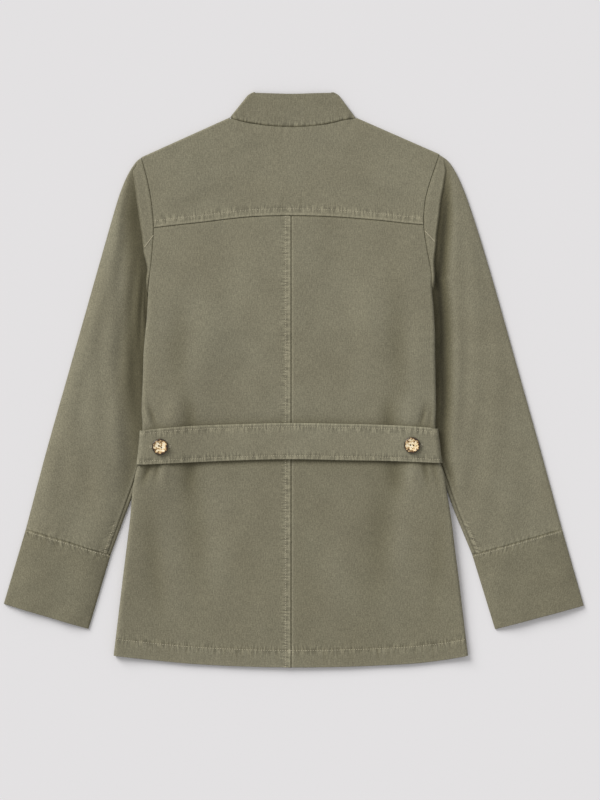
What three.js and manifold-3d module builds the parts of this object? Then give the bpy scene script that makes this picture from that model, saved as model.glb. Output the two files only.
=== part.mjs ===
// A hip-length cotton utility jacket, laid flat on a surface with its back up.
// Millimetres. X runs to the wearer's right, Y up the back to the collar, Z up from the surface.
// The origin is on the surface, under the middle of the jacket's outline.
import * as THREE from 'three';
import { mergeVertices } from 'three/addons/utils/BufferGeometryUtils.js';
import Module from 'manifold-3d';

const wasm = await Module();
wasm.setup();

// Cloth and how it lies
const CLOTH = 1.2;             // wall of one layer of canvas with its turnings
const COLLAR = 1.6;            // stand collar, two layers and stiffening
const BELT = 2.0;              // half belt, folded double
const SEAM = 0.3;              // gap between two pieces at a seam
const LOFT = 3.6;              // between the middles of the two layers where the garment lies flat
const SLEEVE_UNDER = 3.1;      // height that a sleeve pressed under the body takes up
const UNDER_MARGIN = 8;        // the layers above stay up this far past the sleeve's hidden edge
const UNDER_RAMP = 22;         // width over which the lower layer then comes down
const BACK_RAMP = 85;          // the same for the back, which bridges more widely
const CENTRE = -3.5;           // centre-back and centre-front line
const HALF_TURN = [-90, -45, 0, 45, 90];

// Sleeve, heights to the middle of its upper layer
const SLEEVE_LOW = 2.2;        // pressed flat
const SLEEVE_EDGE = 3.0;       // beside the outer fold
const SLEEVE_PLATEAU = 5.2;    // free of the body
const SLEEVE_SOFT = 30;        // distance over which it rises from an edge
const TROUGH_START = 6;        // flat strip beside the body before the sleeve rises
const SEAM_UNDER = 20;         // front seam, from the outer fold
const SEAM_INNER = 6.5;        // back seam, from the inner edge
const LEDGE_FOOT = 2.6;        // width of the steep step beside the folded sleeve head

// Fronts, hidden below the back
const LAP = 20;                // each front passes the centre front by this
const LAP_LIFT = 1.9;          // the upper front rises over the lower one
const LAP_RAMP = 17;
const FRONT_NECK_DEPTH = 72;   // of the neck seam, below the neck point
const STAND_DEPTH = 62;        // of the collar's free edge at the front
const SHOULDER_RETURN = 7;     // the yoke passes round the shoulder by this
const TIP_CLEAR = 0.6;         // more gap at the shoulder's tip, where three pieces meet

// Hem
const HEM = 22;                // turned up
const HEM_FOLD_Y = -338;       // side fold's height at the stitch line
const HEM_EDGE_Y = -359;       // side fold's height at the edge
const HEM_EDGE_X = 230;        // where the hem's edge meets the side fold
const HEM_CURVE_FROM = -240;   // the lines of the body take up the hem's curve from here
const HEM_CURVE_LENGTH = 90;
const FRONT_HEM_INSET = 1.2;   // the fronts end this far short of the back's edge

// Buttons
const BUTTON_RADIUS = 10.5;
const BUTTON_HEIGHT = 3.2;
const BUTTON_HOLE = 0.9;
const BUTTON_HOLE_SPACING = 4.2;

const LEFT = { name: 'left', sign: -1, neckX: -83.1, neckY: 341.1, tipX: -198.3, tipY: 289.1, lap: 1 };
const RIGHT = { name: 'right', sign: 1, neckX: 80.3, neckY: 341.1, tipX: 189.3, tipY: 293.3, lap: 0 };

// Side fold of the body, from the armhole to the hem
const SIDE = [
  { y: 124.0, left: -190.0, right: 179.3 },
  { y: 78.0, left: -192.6, right: 181.7 },
  { y: 39.0, left: -194.9, right: 183.6 },
  { y: 0.0, left: -196.2, right: 184.3 },
  { y: -39.0, left: -197.6, right: 184.7 },
  { y: -58.0, left: -196.6, right: 184.0 },
  { y: -84.0, left: -198.2, right: 186.6 },
  { y: -108.0, left: -201.3, right: 190.0 },
  { y: -118.0, left: -204.6, right: 194.2 },
  { y: -136.5, left: -208.5, right: 197.4 },
  { y: -182.0, left: -212.9, right: 204.9 },
  { y: -213.8, left: -216.8, right: 208.8 },
  { y: -255.5, left: -222.0, right: 214.3 },
  { y: -297.1, left: -227.0, right: 219.2 },
  { y: -338.7, left: -232.0, right: 224.3 },
  { y: -360.0, left: -234.6, right: 226.9 },
];

// Fold of the sleeve head, which lies over the sleeve above the side fold
const HEAD_FOLD = [
  { y: 286.0, left: -204.4, right: 196.9 },
  { y: 274.4, left: -207.2, right: 196.6 },
  { y: 257.9, left: -204.6, right: 194.3 },
  { y: 238.0, left: -202.1, right: 191.6 },
  { y: 214.8, left: -198.8, right: 188.8 },
  { y: 181.6, left: -194.7, right: 185.2 },
  { y: 155.0, left: -191.3, right: 182.1 },
  { y: 137.8, left: -189.7, right: 180.1 },
];

// Armhole seam on the upper layer, u from shoulder to underarm. The last four rows are hidden.
// ledge is the width of folded sleeve head beside it.
const ARMHOLE = {
  left: [
    { u: 0.00, x: -198.3, y: 289.1, ledge: 6.0 },
    { u: 0.07, x: -193.9, y: 274.4, ledge: 13.3 },
    { u: 0.14, x: -189.7, y: 257.9, ledge: 14.9 },
    { u: 0.23, x: -185.6, y: 236.3, ledge: 16.3 },
    { u: 0.32, x: -183.1, y: 214.8, ledge: 15.7 },
    { u: 0.40, x: -181.9, y: 198.1, ledge: 14.6 },
    { u: 0.54, x: -183.9, y: 165.0, ledge: 8.7 },
    { u: 0.62, x: -186.4, y: 145.1, ledge: 4.0 },
    { u: 0.70, x: -190.0, y: 125.0, ledge: 1.4 },
    { u: 0.75, x: -193.0, y: 115.5, ledge: 1.4 },
    { u: 0.83, x: -182.0, y: 97.0, ledge: 1.4 },
    { u: 0.91, x: -160.0, y: 78.0, ledge: 1.4 },
    { u: 1.00, x: -132.0, y: 66.0, ledge: 1.4 },
  ],
  right: [
    { u: 0.00, x: 189.3, y: 293.3, ledge: 6.0 },
    { u: 0.07, x: 183.4, y: 276.6, ledge: 13.2 },
    { u: 0.14, x: 176.7, y: 256.8, ledge: 17.5 },
    { u: 0.23, x: 171.0, y: 235.2, ledge: 20.0 },
    { u: 0.32, x: 168.8, y: 215.3, ledge: 20.0 },
    { u: 0.40, x: 168.5, y: 202.0, ledge: 18.6 },
    { u: 0.54, x: 172.7, y: 170.6, ledge: 11.2 },
    { u: 0.62, x: 176.0, y: 153.0, ledge: 5.9 },
    { u: 0.70, x: 179.3, y: 125.0, ledge: 1.4 },
    { u: 0.75, x: 182.6, y: 115.5, ledge: 1.4 },
    { u: 0.83, x: 171.5, y: 97.0, ledge: 1.4 },
    { u: 0.91, x: 152.0, y: 78.0, ledge: 1.4 },
    { u: 1.00, x: 126.0, y: 66.0, ledge: 1.4 },
  ],
};
const YOKE_ROWS = 5;           // rows of the armhole above the yoke seam
const BACK_ROWS = 3;           // rows from the yoke seam down to the side fold
const YOKE_EDGE_CLEAR = 0.1;   // more gap along the yoke's armhole
const YOKE_TURN_CLEAR = 0.25;  // and where it turns round the shoulder

// Rows of the back below the yoke seam: how much of the seam's slope each keeps
const SEAM_SLOPE = [1, 0.6, 0.3, 0.1];

// Armhole seam on the lower layer
const FRONT_ARMHOLE = {
  left: [
    { u: 0.00, x: -198.3, y: 289.1 },
    { u: 0.34, x: -175.0, y: 228.0 },
    { u: 0.52, x: -166.0, y: 190.0 },
    { u: 0.68, x: -161.0, y: 150.0 },
    { u: 0.84, x: -154.0, y: 112.0 },
    { u: 1.00, x: -132.0, y: 66.0 },
  ],
  right: [
    { u: 0.00, x: 189.3, y: 293.3 },
    { u: 0.34, x: 166.0, y: 230.0 },
    { u: 0.52, x: 157.0, y: 190.0 },
    { u: 0.68, x: 152.5, y: 150.0 },
    { u: 0.84, x: 146.0, y: 112.0 },
    { u: 1.00, x: 126.0, y: 66.0 },
  ],
};
const UNDERARM_Y = 66;
const UNDERARM_CLEAR = 5;      // the front stays clear of the sleeve that passes under it here

// Inner edge of the sleeve, hidden below the body until it comes out above the cuff
const INNER = [
  { y: 300, left: -196, right: 188 },
  { y: 200, left: -178, right: 166 },
  { y: 124, left: -158, right: 150 },
  { y: 66, left: -132, right: 126 },
  { y: -172.2, left: -216.3, right: 209.4 },
  { y: -227.3, left: -238.3, right: 232.2 },
  { y: -324.0, left: -267.1, right: 262.0 },
  { y: -380.0, left: -283.8, right: 279.0 },
];
const CUFF_SEAM_Y = -227.3;

// Outer fold of the sleeve, from the shoulder to the cuff seam
const OUTER = {
  left: [
    { x: -198.3, y: 289.1 },
    { x: -203.4, y: 285.4 },
    { x: -211.3, y: 274.9 },
    { x: -217.0, y: 264.6 },
    { x: -225.6, y: 243.8 },
    { x: -232.2, y: 223.0 },
    { x: -244.2, y: 181.3 },
    { x: -261.9, y: 119.0 },
    { x: -291.4, y: 15.0 },
    { x: -320.9, y: -89.0 },
    { x: -348.7, y: -194.1 },
  ],
  right: [
    { x: 189.3, y: 293.3 },
    { x: 200.3, y: 285.4 },
    { x: 207.9, y: 274.9 },
    { x: 213.5, y: 264.6 },
    { x: 222.4, y: 243.8 },
    { x: 229.8, y: 223.0 },
    { x: 243.3, y: 181.3 },
    { x: 261.8, y: 119.0 },
    { x: 291.1, y: 15.0 },
    { x: 320.4, y: -89.0 },
    { x: 349.1, y: -194.1 },
  ],
};

// Free corners of the cuffs
const CUFF_END = {
  left: { outerX: -377.4, outerY: -291.1, innerX: -267.1, innerY: -323.8 },
  right: { outerX: 377.4, outerY: -293.4, innerX: 262.0, innerY: -324.2 },
};

// Height that what lies below adds to the back beside its edge
const LIFT = [
  { y: 345, height: 0 },
  { y: 289, height: 0.4 },
  { y: 258, height: 1.3 },
  { y: 198, height: 2.2 },
  { y: 165, height: 3.2 },
  { y: 124, height: 5.0 },
  { y: 66, height: 6.2 },
  { y: -150, height: 6.2 },
  { y: -420, height: 4.4 },
];

// How low the sleeve lies beside the fold, from the side up to the shoulder
const TROUGH = [
  { y: 290, height: 3.6 },
  { y: 230, height: 3.0 },
  { y: 150, height: 2.2 },
  { y: -400, height: 2.2 },
];

// Width of the back panel's return below the side fold, to the side seam
const RETURN = [
  { y: 124, width: 50 },
  { y: 66, width: 52 },
  { y: 0, width: 40 },
  { y: -84, width: 27 },
  { y: -182, width: 17 },
  { y: -360, width: 9 },
];

// Below the armhole the return drops to the underarm: share of its width, drop, and how much of
// the drop each row takes, from the row where the side fold starts
const RETURN_COLUMNS = [
  { share: 0.33, drop: 28 },
  { share: 0.66, drop: 47 },
  { share: 1, drop: 60 },
];
const TURN_DROPS = [1.5, 3, 5, 7];
const DROP_WEIGHTS = [1, 0.7, 0.25];

const YOKE_SEAM = [
  { x: -181.9, y: 198.1 },
  { x: -147.9, y: 202.2 },
  { x: -116.7, y: 205.7 },
  { x: -85.5, y: 209.6 },
  { x: -54.3, y: 212.7 },
  { x: -3.5, y: 214.1 },
  { x: 54.9, y: 212.3 },
  { x: 86.1, y: 210.0 },
  { x: 117.3, y: 207.2 },
  { x: 148.5, y: 203.7 },
  { x: 168.5, y: 202.0 },
];

const NECK_SEAM = [
  { x: -83.1, y: 341.1 },
  { x: -69.9, y: 337.2 },
  { x: -49.1, y: 333.3 },
  { x: -28.3, y: 330.6 },
  { x: -3.5, y: 329.4 },
  { x: 23.7, y: 330.6 },
  { x: 44.5, y: 333.6 },
  { x: 65.3, y: 338.3 },
  { x: 80.3, y: 341.4 },
];

const COLLAR_TOP = [
  { x: -57.4, y: 373.7 },
  { x: -30.9, y: 372.9 },
  { x: -3.5, y: 372.2 },
  { x: 23.7, y: 372.9 },
  { x: 56.4, y: 373.7 },
];
const COLLAR_OVER = 0.2;       // the stand collar rises over the yoke by this
const COLLAR_CORNER = { in: 0.2, up: 0.7 };  // its lower corner, from the neck point
const COLLAR_ARM_GAP = 0.6;    // half the gap between its two arms at the centre front
const YOKE_CORNER_IN = 0.5;    // the yoke's neck corner keeps this clear of the collar

const HEM_LINE = [
  { x: -234.6, y: -358.4 },
  { x: -186.9, y: -363.9 },
  { x: -129.4, y: -369.3 },
  { x: -56.9, y: -372.8 },
  { x: -3.5, y: -373.7 },
  { x: 47.1, y: -373.4 },
  { x: 112.1, y: -371.2 },
  { x: 161.5, y: -368.2 },
  { x: 195.3, y: -364.0 },
  { x: 226.9, y: -358.4 },
];

const BELT_EDGES = [
  { x: -204.0, top: -66.2, bottom: -110.0 },
  { x: -137.5, top: -60.2, bottom: -107.0 },
  { x: -64.7, top: -57.5, bottom: -104.0 },
  { x: -3.5, top: -56.2, bottom: -102.8 },
  { x: 62.7, top: -57.2, bottom: -104.0 },
  { x: 135.5, top: -59.3, bottom: -105.3 },
  { x: 194.0, top: -63.5, bottom: -107.8 },
];
const BELT_GAP = 0.5;          // the belt lies this far over the back
const BELT_SLACK = 0.5;        // more than that round the side folds
const BELT_WRAP = [-20, 20, 55, 90];

// Largest creases where the belt draws the back in: place, half widths and height
const FOLDS = [
  { x: -135, y: -46, across: 10, down: 26, height: -0.9 },
  { x: -158, y: -44, across: 9, down: 20, height: 0.6 },
  { x: -135, y: -126, across: 10, down: 24, height: -0.9 },
  { x: -165, y: -122, across: 9, down: 22, height: 0.7 },
  { x: 122, y: -46, across: 10, down: 24, height: -0.9 },
  { x: 150, y: -44, across: 9, down: 20, height: 0.6 },
  { x: 131, y: -124, across: 11, down: 24, height: -0.9 },
  { x: 156, y: -122, across: 9, down: 22, height: 0.7 },
];

const BUTTONS = [
  { name: 'button_left', x: -173.1, y: -86.6, turn: -35 },
  { name: 'button_right', x: 153.6, y: -84.6, turn: -8 },
];

// Columns of the back and yoke between the centre and the edge. null stands for the neck point.
const ACROSS = [0, 0.14, 0.27, null, 0.55, 0.67, 0.77, 0.84, 0.89, 0.93, 0.965, 1];

// Lines of the back below the armhole, down to the hem
const BODY_LINES = [98, 66, 30, -5, -32, -60, -84, -108, -118, -136, -166, -205, -255, -305];

// Sleeve rows, as a share of the way to the cuff seam. The first three are seam, fold and foot.
const SLEEVE_ROWS = [
  0, 0.0124, 0.0187, 0.09, 0.17, 0.25, 0.34, 0.43, 0.52, 0.61, 0.7, 0.79, 0.88, 0.95, 1,
];
const HEAD_HEIGHTS = [4.6, 4.2, 3.9, 3.3];  // upper layer at the outer fold of the first rows
const TIP_SHARE = 0.07;        // share of a row over which the folded head runs into the shoulder
const UNDERARM_SHARE = 0.09;   // and into the underarm
const LEDGE_END = 0.72;        // the folded head is covered by the back from this share on
const CUFF_ROWS = [0, 0.25, 0.5, 0.75, 1];
const CUFF_COLUMNS = [0.08, 0.18, 0.34, 0.5, 0.66, 0.82, 0.92];
const CUFF_UNDER_COLUMNS = [0.66, 0.34];
const CUFF_END_HEIGHT = 4.4;

// Columns of a front from the side seam to the lap, as a share of the flat part
const FRONT_COLUMNS = [0, 0.06, 0.13, 0.21, 0.31, 0.44, 0.5, 0.66, 0.84, 1];
const FRONT_FLAT_END = 23.7;   // where the flat part ends, from the centre front
const SHOULDER_COLUMNS = [1, 0.82, 0.64, 0.46, 0.24];
const FRONT_LIFT_END = { y: 80, length: 40 };  // the hidden sleeve no longer lifts the front above this
const LAP_TOP_DROP = { over: 3, under: 0.5 };  // top corner of each lap, below the neck seam

const KHAKI = '#7f7a68';
const KHAKI_LIGHT = '#827d69';
const KHAKI_DARK = '#7a7560';
const TORTOISESHELL = '#c9a26a';

// Measuring along a table

const smooth = (t) => {
  const c = Math.min(1, Math.max(0, t));
  return c * c * (3 - 2 * c);
};
const mix = (a, b, t) => a + (b - a) * t;
const radians = (degrees) => (degrees * Math.PI) / 180;

function segmentAt(table, by, at) {
  const rising = table[1][by] > table[0][by];
  let i = 0;
  while (i < table.length - 2 && (rising ? at > table[i + 1][by] : at < table[i + 1][by])) i += 1;
  return i;
}

// Straight lines between a table's rows, carried on past its ends
function line(table, column, at, by = 'y') {
  const i = segmentAt(table, by, at);
  const a = table[i];
  const b = table[i + 1];
  return mix(a[column], b[column], (at - a[by]) / (b[by] - a[by]));
}

// A smooth curve through a table's rows
function curve(table, column, at, by = 'y') {
  const i = segmentAt(table, by, at);
  const slope = (k) => (table[k + 1][column] - table[k][column]) / (table[k + 1][by] - table[k][by]);
  const tangent = (k) => {
    if (k === 0) return slope(0);
    if (k === table.length - 1) return slope(k - 1);
    return (slope(k - 1) + slope(k)) / 2;
  };
  const from = table[i][by];
  const step = table[i + 1][by] - from;
  const t = (at - from) / step;
  if (t < 0) return table[i][column] + tangent(i) * (at - from);
  if (t > 1) return table[i + 1][column] + tangent(i + 1) * (at - from - step);
  const t2 = t * t;
  const t3 = t2 * t;
  return (2 * t3 - 3 * t2 + 1) * table[i][column] + (t3 - 2 * t2 + t) * step * tangent(i)
    + (3 * t2 - 2 * t3) * table[i + 1][column] + (t3 - t2) * step * tangent(i + 1);
}

// The same table with the distance along its points as column s
function byLength(points) {
  let s = 0;
  return points.map((p, i) => {
    if (i > 0) s += Math.hypot(p.x - points[i - 1].x, p.y - points[i - 1].y);
    return { ...p, s };
  });
}

const point = (x, y, z) => new THREE.Vector3(x, y, z);

// Heights of the layers

const sideX = (side, y) => curve(SIDE, side.name, y);
const sideSeamX = (side, y) => sideX(side, y) - side.sign * line(RETURN, 'width', y);
const hemY = (x) => curve(HEM_LINE, 'y', x, 'x');

// How far a line of the body at height y follows the hem's curve, at x and from edgeX
const hemCurve = (x, edgeX, y) => (
  (hemY(x) - hemY(edgeX)) * smooth((HEM_CURVE_FROM - y) / HEM_CURVE_LENGTH)
);
const pastInner = (side, x, y) => side.sign * (x - line(INNER, side.name, y)) + UNDER_MARGIN;
const sideOf = (x) => (x < CENTRE ? LEFT : RIGHT);

// Lower layer of the body, raised by the hidden sleeve
function lowerLift(side, x, y) {
  return SLEEVE_UNDER * smooth((pastInner(side, x, y) + UNDER_RAMP) / UNDER_RAMP);
}

function foldHeight(x, y) {
  return FOLDS.reduce((sum, f) => {
    const across = (x - f.x) / f.across;
    const down = (y - f.y) / f.down;
    return sum + f.height * Math.exp(-across * across - down * down);
  }, 0);
}

// Middle of the back's cloth
function backHeight(x, y) {
  const side = sideOf(x);
  const lift = line(LIFT, 'height', y) * smooth((pastInner(side, x, y) + BACK_RAMP) / BACK_RAMP);
  return CLOTH / 2 + LOFT + lift + foldHeight(x, y);
}

// Middle of the sleeve's upper layer, s from its outer fold of a row of that width
function sleeveHeight(side, x, y, s, width) {
  const foldX = y > SIDE[0].y + 10 ? curve(HEAD_FOLD, side.name, y) : sideX(side, y);
  const low = line(TROUGH, 'height', y);
  const out = side.sign * (x - foldX);
  const beside = low + (SLEEVE_PLATEAU - low) * smooth((out - TROUGH_START) / SLEEVE_SOFT);
  const outer = SLEEVE_EDGE + (SLEEVE_PLATEAU - SLEEVE_EDGE) * smooth(s / SLEEVE_SOFT);
  const inner = SLEEVE_LOW + (SLEEVE_PLATEAU - SLEEVE_LOW) * smooth((width - s) / SLEEVE_SOFT);
  return Math.min(beside, outer, inner);
}

// Walls

// A wall of the given thickness about a grid of middle points. isCut leaves cells out, and a
// closed grid joins its last column to its first.
function wall(grid, thickness, { closed = false, isCut = () => false } = {}) {
  const rows = grid.length;
  const columns = grid[0].length;
  const cellColumns = closed ? columns : columns - 1;
  const right = (j) => (j + 1) % columns;
  const hasCell = (i, j) => {
    if (i < 0 || i >= rows - 1) return false;
    if (!closed && (j < 0 || j >= cellColumns)) return false;
    return !isCut(i, (j + columns) % columns);
  };
  const normals = grid.map((row) => row.map(() => point(0, 0, 0)));
  const used = grid.map((row) => row.map(() => false));
  for (let i = 0; i < rows - 1; i += 1) {
    for (let j = 0; j < cellColumns; j += 1) {
      if (!hasCell(i, j)) continue;
      const corners = [[i, j], [i, right(j)], [i + 1, right(j)], [i + 1, j]];
      const [a, b, c, d] = corners.map(([r, k]) => grid[r][k]);
      const normal = c.clone().sub(a).cross(d.clone().sub(b)).normalize();
      for (const [r, k] of corners) {
        normals[r][k].add(normal);
        used[r][k] = true;
      }
    }
  }
  const positions = [];
  const outer = [];
  const inner = [];
  for (let i = 0; i < rows; i += 1) {
    outer.push([]);
    inner.push([]);
    for (let j = 0; j < columns; j += 1) {
      if (!used[i][j]) continue;
      const offset = normals[i][j].normalize().multiplyScalar(thickness / 2);
      outer[i][j] = positions.length / 3;
      positions.push(...grid[i][j].clone().add(offset).toArray());
      inner[i][j] = positions.length / 3;
      positions.push(...grid[i][j].clone().sub(offset).toArray());
    }
  }
  const index = [];
  const quad = (a, b, c, d) => index.push(a, b, c, a, c, d);
  for (let i = 0; i < rows - 1; i += 1) {
    for (let j = 0; j < cellColumns; j += 1) {
      if (!hasCell(i, j)) continue;
      const k = right(j);
      quad(outer[i][j], outer[i][k], outer[i + 1][k], outer[i + 1][j]);
      quad(inner[i][j], inner[i + 1][j], inner[i + 1][k], inner[i][k]);
      if (!hasCell(i - 1, j)) quad(outer[i][k], outer[i][j], inner[i][j], inner[i][k]);
      if (!hasCell(i + 1, j)) quad(outer[i + 1][j], outer[i + 1][k], inner[i + 1][k], inner[i + 1][j]);
      if (!hasCell(i, j - 1)) quad(outer[i][j], outer[i + 1][j], inner[i + 1][j], inner[i][j]);
      if (!hasCell(i, j + 1)) quad(outer[i + 1][k], outer[i][k], inner[i][k], inner[i + 1][k]);
    }
  }
  return solidFrom(positions, index);
}

// An indexed geometry whose faces point out
function solidFrom(positions, index) {
  const at = (k) => point(positions[3 * k], positions[3 * k + 1], positions[3 * k + 2]);
  let volume = 0;
  for (let t = 0; t < index.length; t += 3) {
    volume += at(index[t]).dot(at(index[t + 1]).cross(at(index[t + 2])));
  }
  if (volume < 0) index.reverse();
  const geometry = new THREE.BufferGeometry();
  geometry.setAttribute('position', new THREE.Float32BufferAttribute(positions, 3));
  geometry.setIndex(index);
  geometry.computeVertexNormals();
  return geometry;
}

// Points round a fold between two layers: inset from the fold line and height
function foldSteps(upper, lower) {
  const radius = (upper - lower) / 2;
  return HALF_TURN.map((degrees) => ({
    inset: radius * (1 - Math.cos(radians(degrees))),
    z: lower + radius + radius * Math.sin(radians(degrees)),
  }));
}

// Body

function acrossShares(side) {
  const neckShare = (side.neckX - CENTRE) / (side.tipX - CENTRE);
  return ACROSS.map((share) => share ?? neckShare);
}

// One back panel: upper layer from the centre-back seam, side fold and return to the side seam
function backPanel(side) {
  const shares = acrossShares(side);
  const start = CENTRE + side.sign * (SEAM / 2);
  const seamRow = ARMHOLE[side.name].slice(YOKE_ROWS, YOKE_ROWS + BACK_ROWS + 1);
  const rows = seamRow.map((p, i) => ({ y: p.y, x: p.x, slope: SEAM_SLOPE[i], fold: i === BACK_ROWS }));
  for (const y of BODY_LINES) rows.push({ y, x: sideX(side, y), slope: 0, fold: true });
  const foldX = sideX(side, HEM_FOLD_Y);
  rows.push({ y: hemY(foldX) + HEM, x: foldX, hem: HEM, fold: true });
  rows.push({ y: hemY(side.sign * HEM_EDGE_X), x: sideX(side, HEM_EDGE_Y), hem: 0, fold: true });

  const lineY = (row, x) => {
    if (row.hem !== undefined) return hemY(x) + row.hem;
    const seam = curve(YOKE_SEAM, 'y', x, 'x');
    const seamAtEdge = curve(YOKE_SEAM, 'y', seamRow[0].x, 'x');
    return row.y + (seam - seamAtEdge) * row.slope + hemCurve(x, row.x, row.y);
  };
  const grid = rows.map((row, i) => {
    const lower = CLOTH / 2 + lowerLift(side, row.x, row.y);
    const upper = backHeight(row.x, row.y);
    const inset = row.fold ? (upper - lower) / 2 + CLOTH / 2 : SEAM / 2;
    const end = row.x - side.sign * inset;
    const points = shares.map((share) => {
      const x = mix(start, end, share);
      const y = lineY(row, x) - (i === 0 ? SEAM / 2 : 0);
      return point(x, y, backHeight(x, y));
    });
    const weight = DROP_WEIGHTS[i - BACK_ROWS] ?? 0;
    const edge = row.x - side.sign * (CLOTH / 2);
    const edgeY = lineY(row, row.x);
    foldSteps(upper, lower).reverse().slice(1).forEach((step, k) => {
      const x = edge - side.sign * step.inset;
      points.push(point(x, edgeY - TURN_DROPS[k] * weight, step.z));
    });
    const turned = edge - side.sign * foldSteps(upper, lower)[0].inset;
    RETURN_COLUMNS.forEach(({ share, drop }) => {
      const y = edgeY - drop * weight;
      const x = mix(turned, sideSeamX(side, y) + side.sign * (SEAM / 2), share);
      points.push(point(x, y, CLOTH / 2 + lowerLift(side, x, y)));
    });
    return points;
  });
  return wall(grid, CLOTH, { isCut: (i, j) => i < BACK_ROWS && j >= shares.length - 1 });
}

// The yoke, from the back seam over the shoulders
function yoke() {
  const half = (side) => {
    const armhole = ARMHOLE[side.name].slice(0, YOKE_ROWS + 1).reverse();
    const shares = acrossShares(side);
    const neckShare = shares[ACROSS.indexOf(null)];
    const tipHeight = backHeight(side.tipX, side.tipY);
    const inward = shoulderInward(side);
    const inset = (tipHeight - CLOTH / 2) / 2;
    return shares.map((share) => {
      const column = [];
      const bottomX = mix(CENTRE, armhole[0].x, share);
      const bottom = point(bottomX, curve(YOKE_SEAM, 'y', bottomX, 'x') + SEAM / 2, 0);
      const isNeck = share < neckShare - 1e-6;
      const isCorner = Math.abs(share - neckShare) < 1e-6;
      const neckX = mix(CENTRE, side.neckX, share / neckShare);
      const shoulder = Math.max(0, (share - neckShare) / (1 - neckShare));
      const edge = isNeck
        ? point(neckX, curve(NECK_SEAM, 'y', neckX, 'x') - SEAM / 2, 0)
        : point(mix(side.neckX, side.tipX, shoulder), mix(side.neckY, side.tipY, shoulder), 0);
      const into = isCorner ? point(0, -1, 0) : inward;
      if (isCorner) edge.x += side.sign * YOKE_CORNER_IN;
      const top = isNeck ? edge : edge.clone().addScaledVector(into, inset);
      const endTop = point(side.tipX, side.tipY, 0).addScaledVector(inward, inset);
      armhole.forEach((p, k) => {
        const share01 = (p.y - armhole[0].y) / (side.tipY - armhole[0].y);
        const at = bottom.clone().lerp(top, share01);
        const straight = point(armhole[0].x, armhole[0].y, 0).lerp(endTop, share01);
        const target = k === armhole.length - 1 ? endTop : point(p.x, p.y, 0);
        at.addScaledVector(target.sub(straight), share ** 3);
        if (share === 1) at.x -= side.sign * (SEAM / 2 + YOKE_EDGE_CLEAR);
        column.push(point(at.x, at.y, backHeight(at.x, at.y)));
      });
      const upper = column.at(-1).z;
      if (share === 1) edge.x -= side.sign * YOKE_TURN_CLEAR;
      foldSteps(upper, CLOTH / 2).reverse().slice(1).forEach((step) => {
        const at = edge.clone().addScaledVector(into, step.inset);
        column.push(point(at.x, at.y, step.z));
      });
      const end = edge.clone().addScaledVector(into, SHOULDER_RETURN);
      column.push(point(end.x, end.y, CLOTH / 2));
      return column;
    });
  };
  const columns = [...half(LEFT).reverse(), ...half(RIGHT).slice(1)];
  const grid = columns[0].map((_, i) => columns.map((column) => column[i]));
  const neckFrom = ACROSS.length - 1 - ACROSS.indexOf(null);
  const neckTo = ACROSS.length - 1 + ACROSS.indexOf(null);
  return wall(grid, CLOTH, { isCut: (i, j) => i >= YOKE_ROWS && j >= neckFrom && j < neckTo });
}

function shoulderInward(side) {
  const dx = side.tipX - side.neckX;
  const dy = side.tipY - side.neckY;
  const length = Math.hypot(dx, dy);
  return point((side.sign * dy) / length, (-side.sign * dx) / length, 0);
}

// The front neck seam is a quarter of an ellipse on each side
const neckWidth = (side) => Math.abs(side.neckX - CENTRE);
const frontNeckY = (side, x, gap) => {
  const share = Math.abs(x - CENTRE) / (neckWidth(side) + gap);
  return side.neckY - (FRONT_NECK_DEPTH + gap) * Math.sqrt(1 - share * share);
};

// Columns of the front's neck, as angles round the neck seam from its side
const NECK_ANGLES = [6, 22, 42, 61, 74.5];

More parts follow.
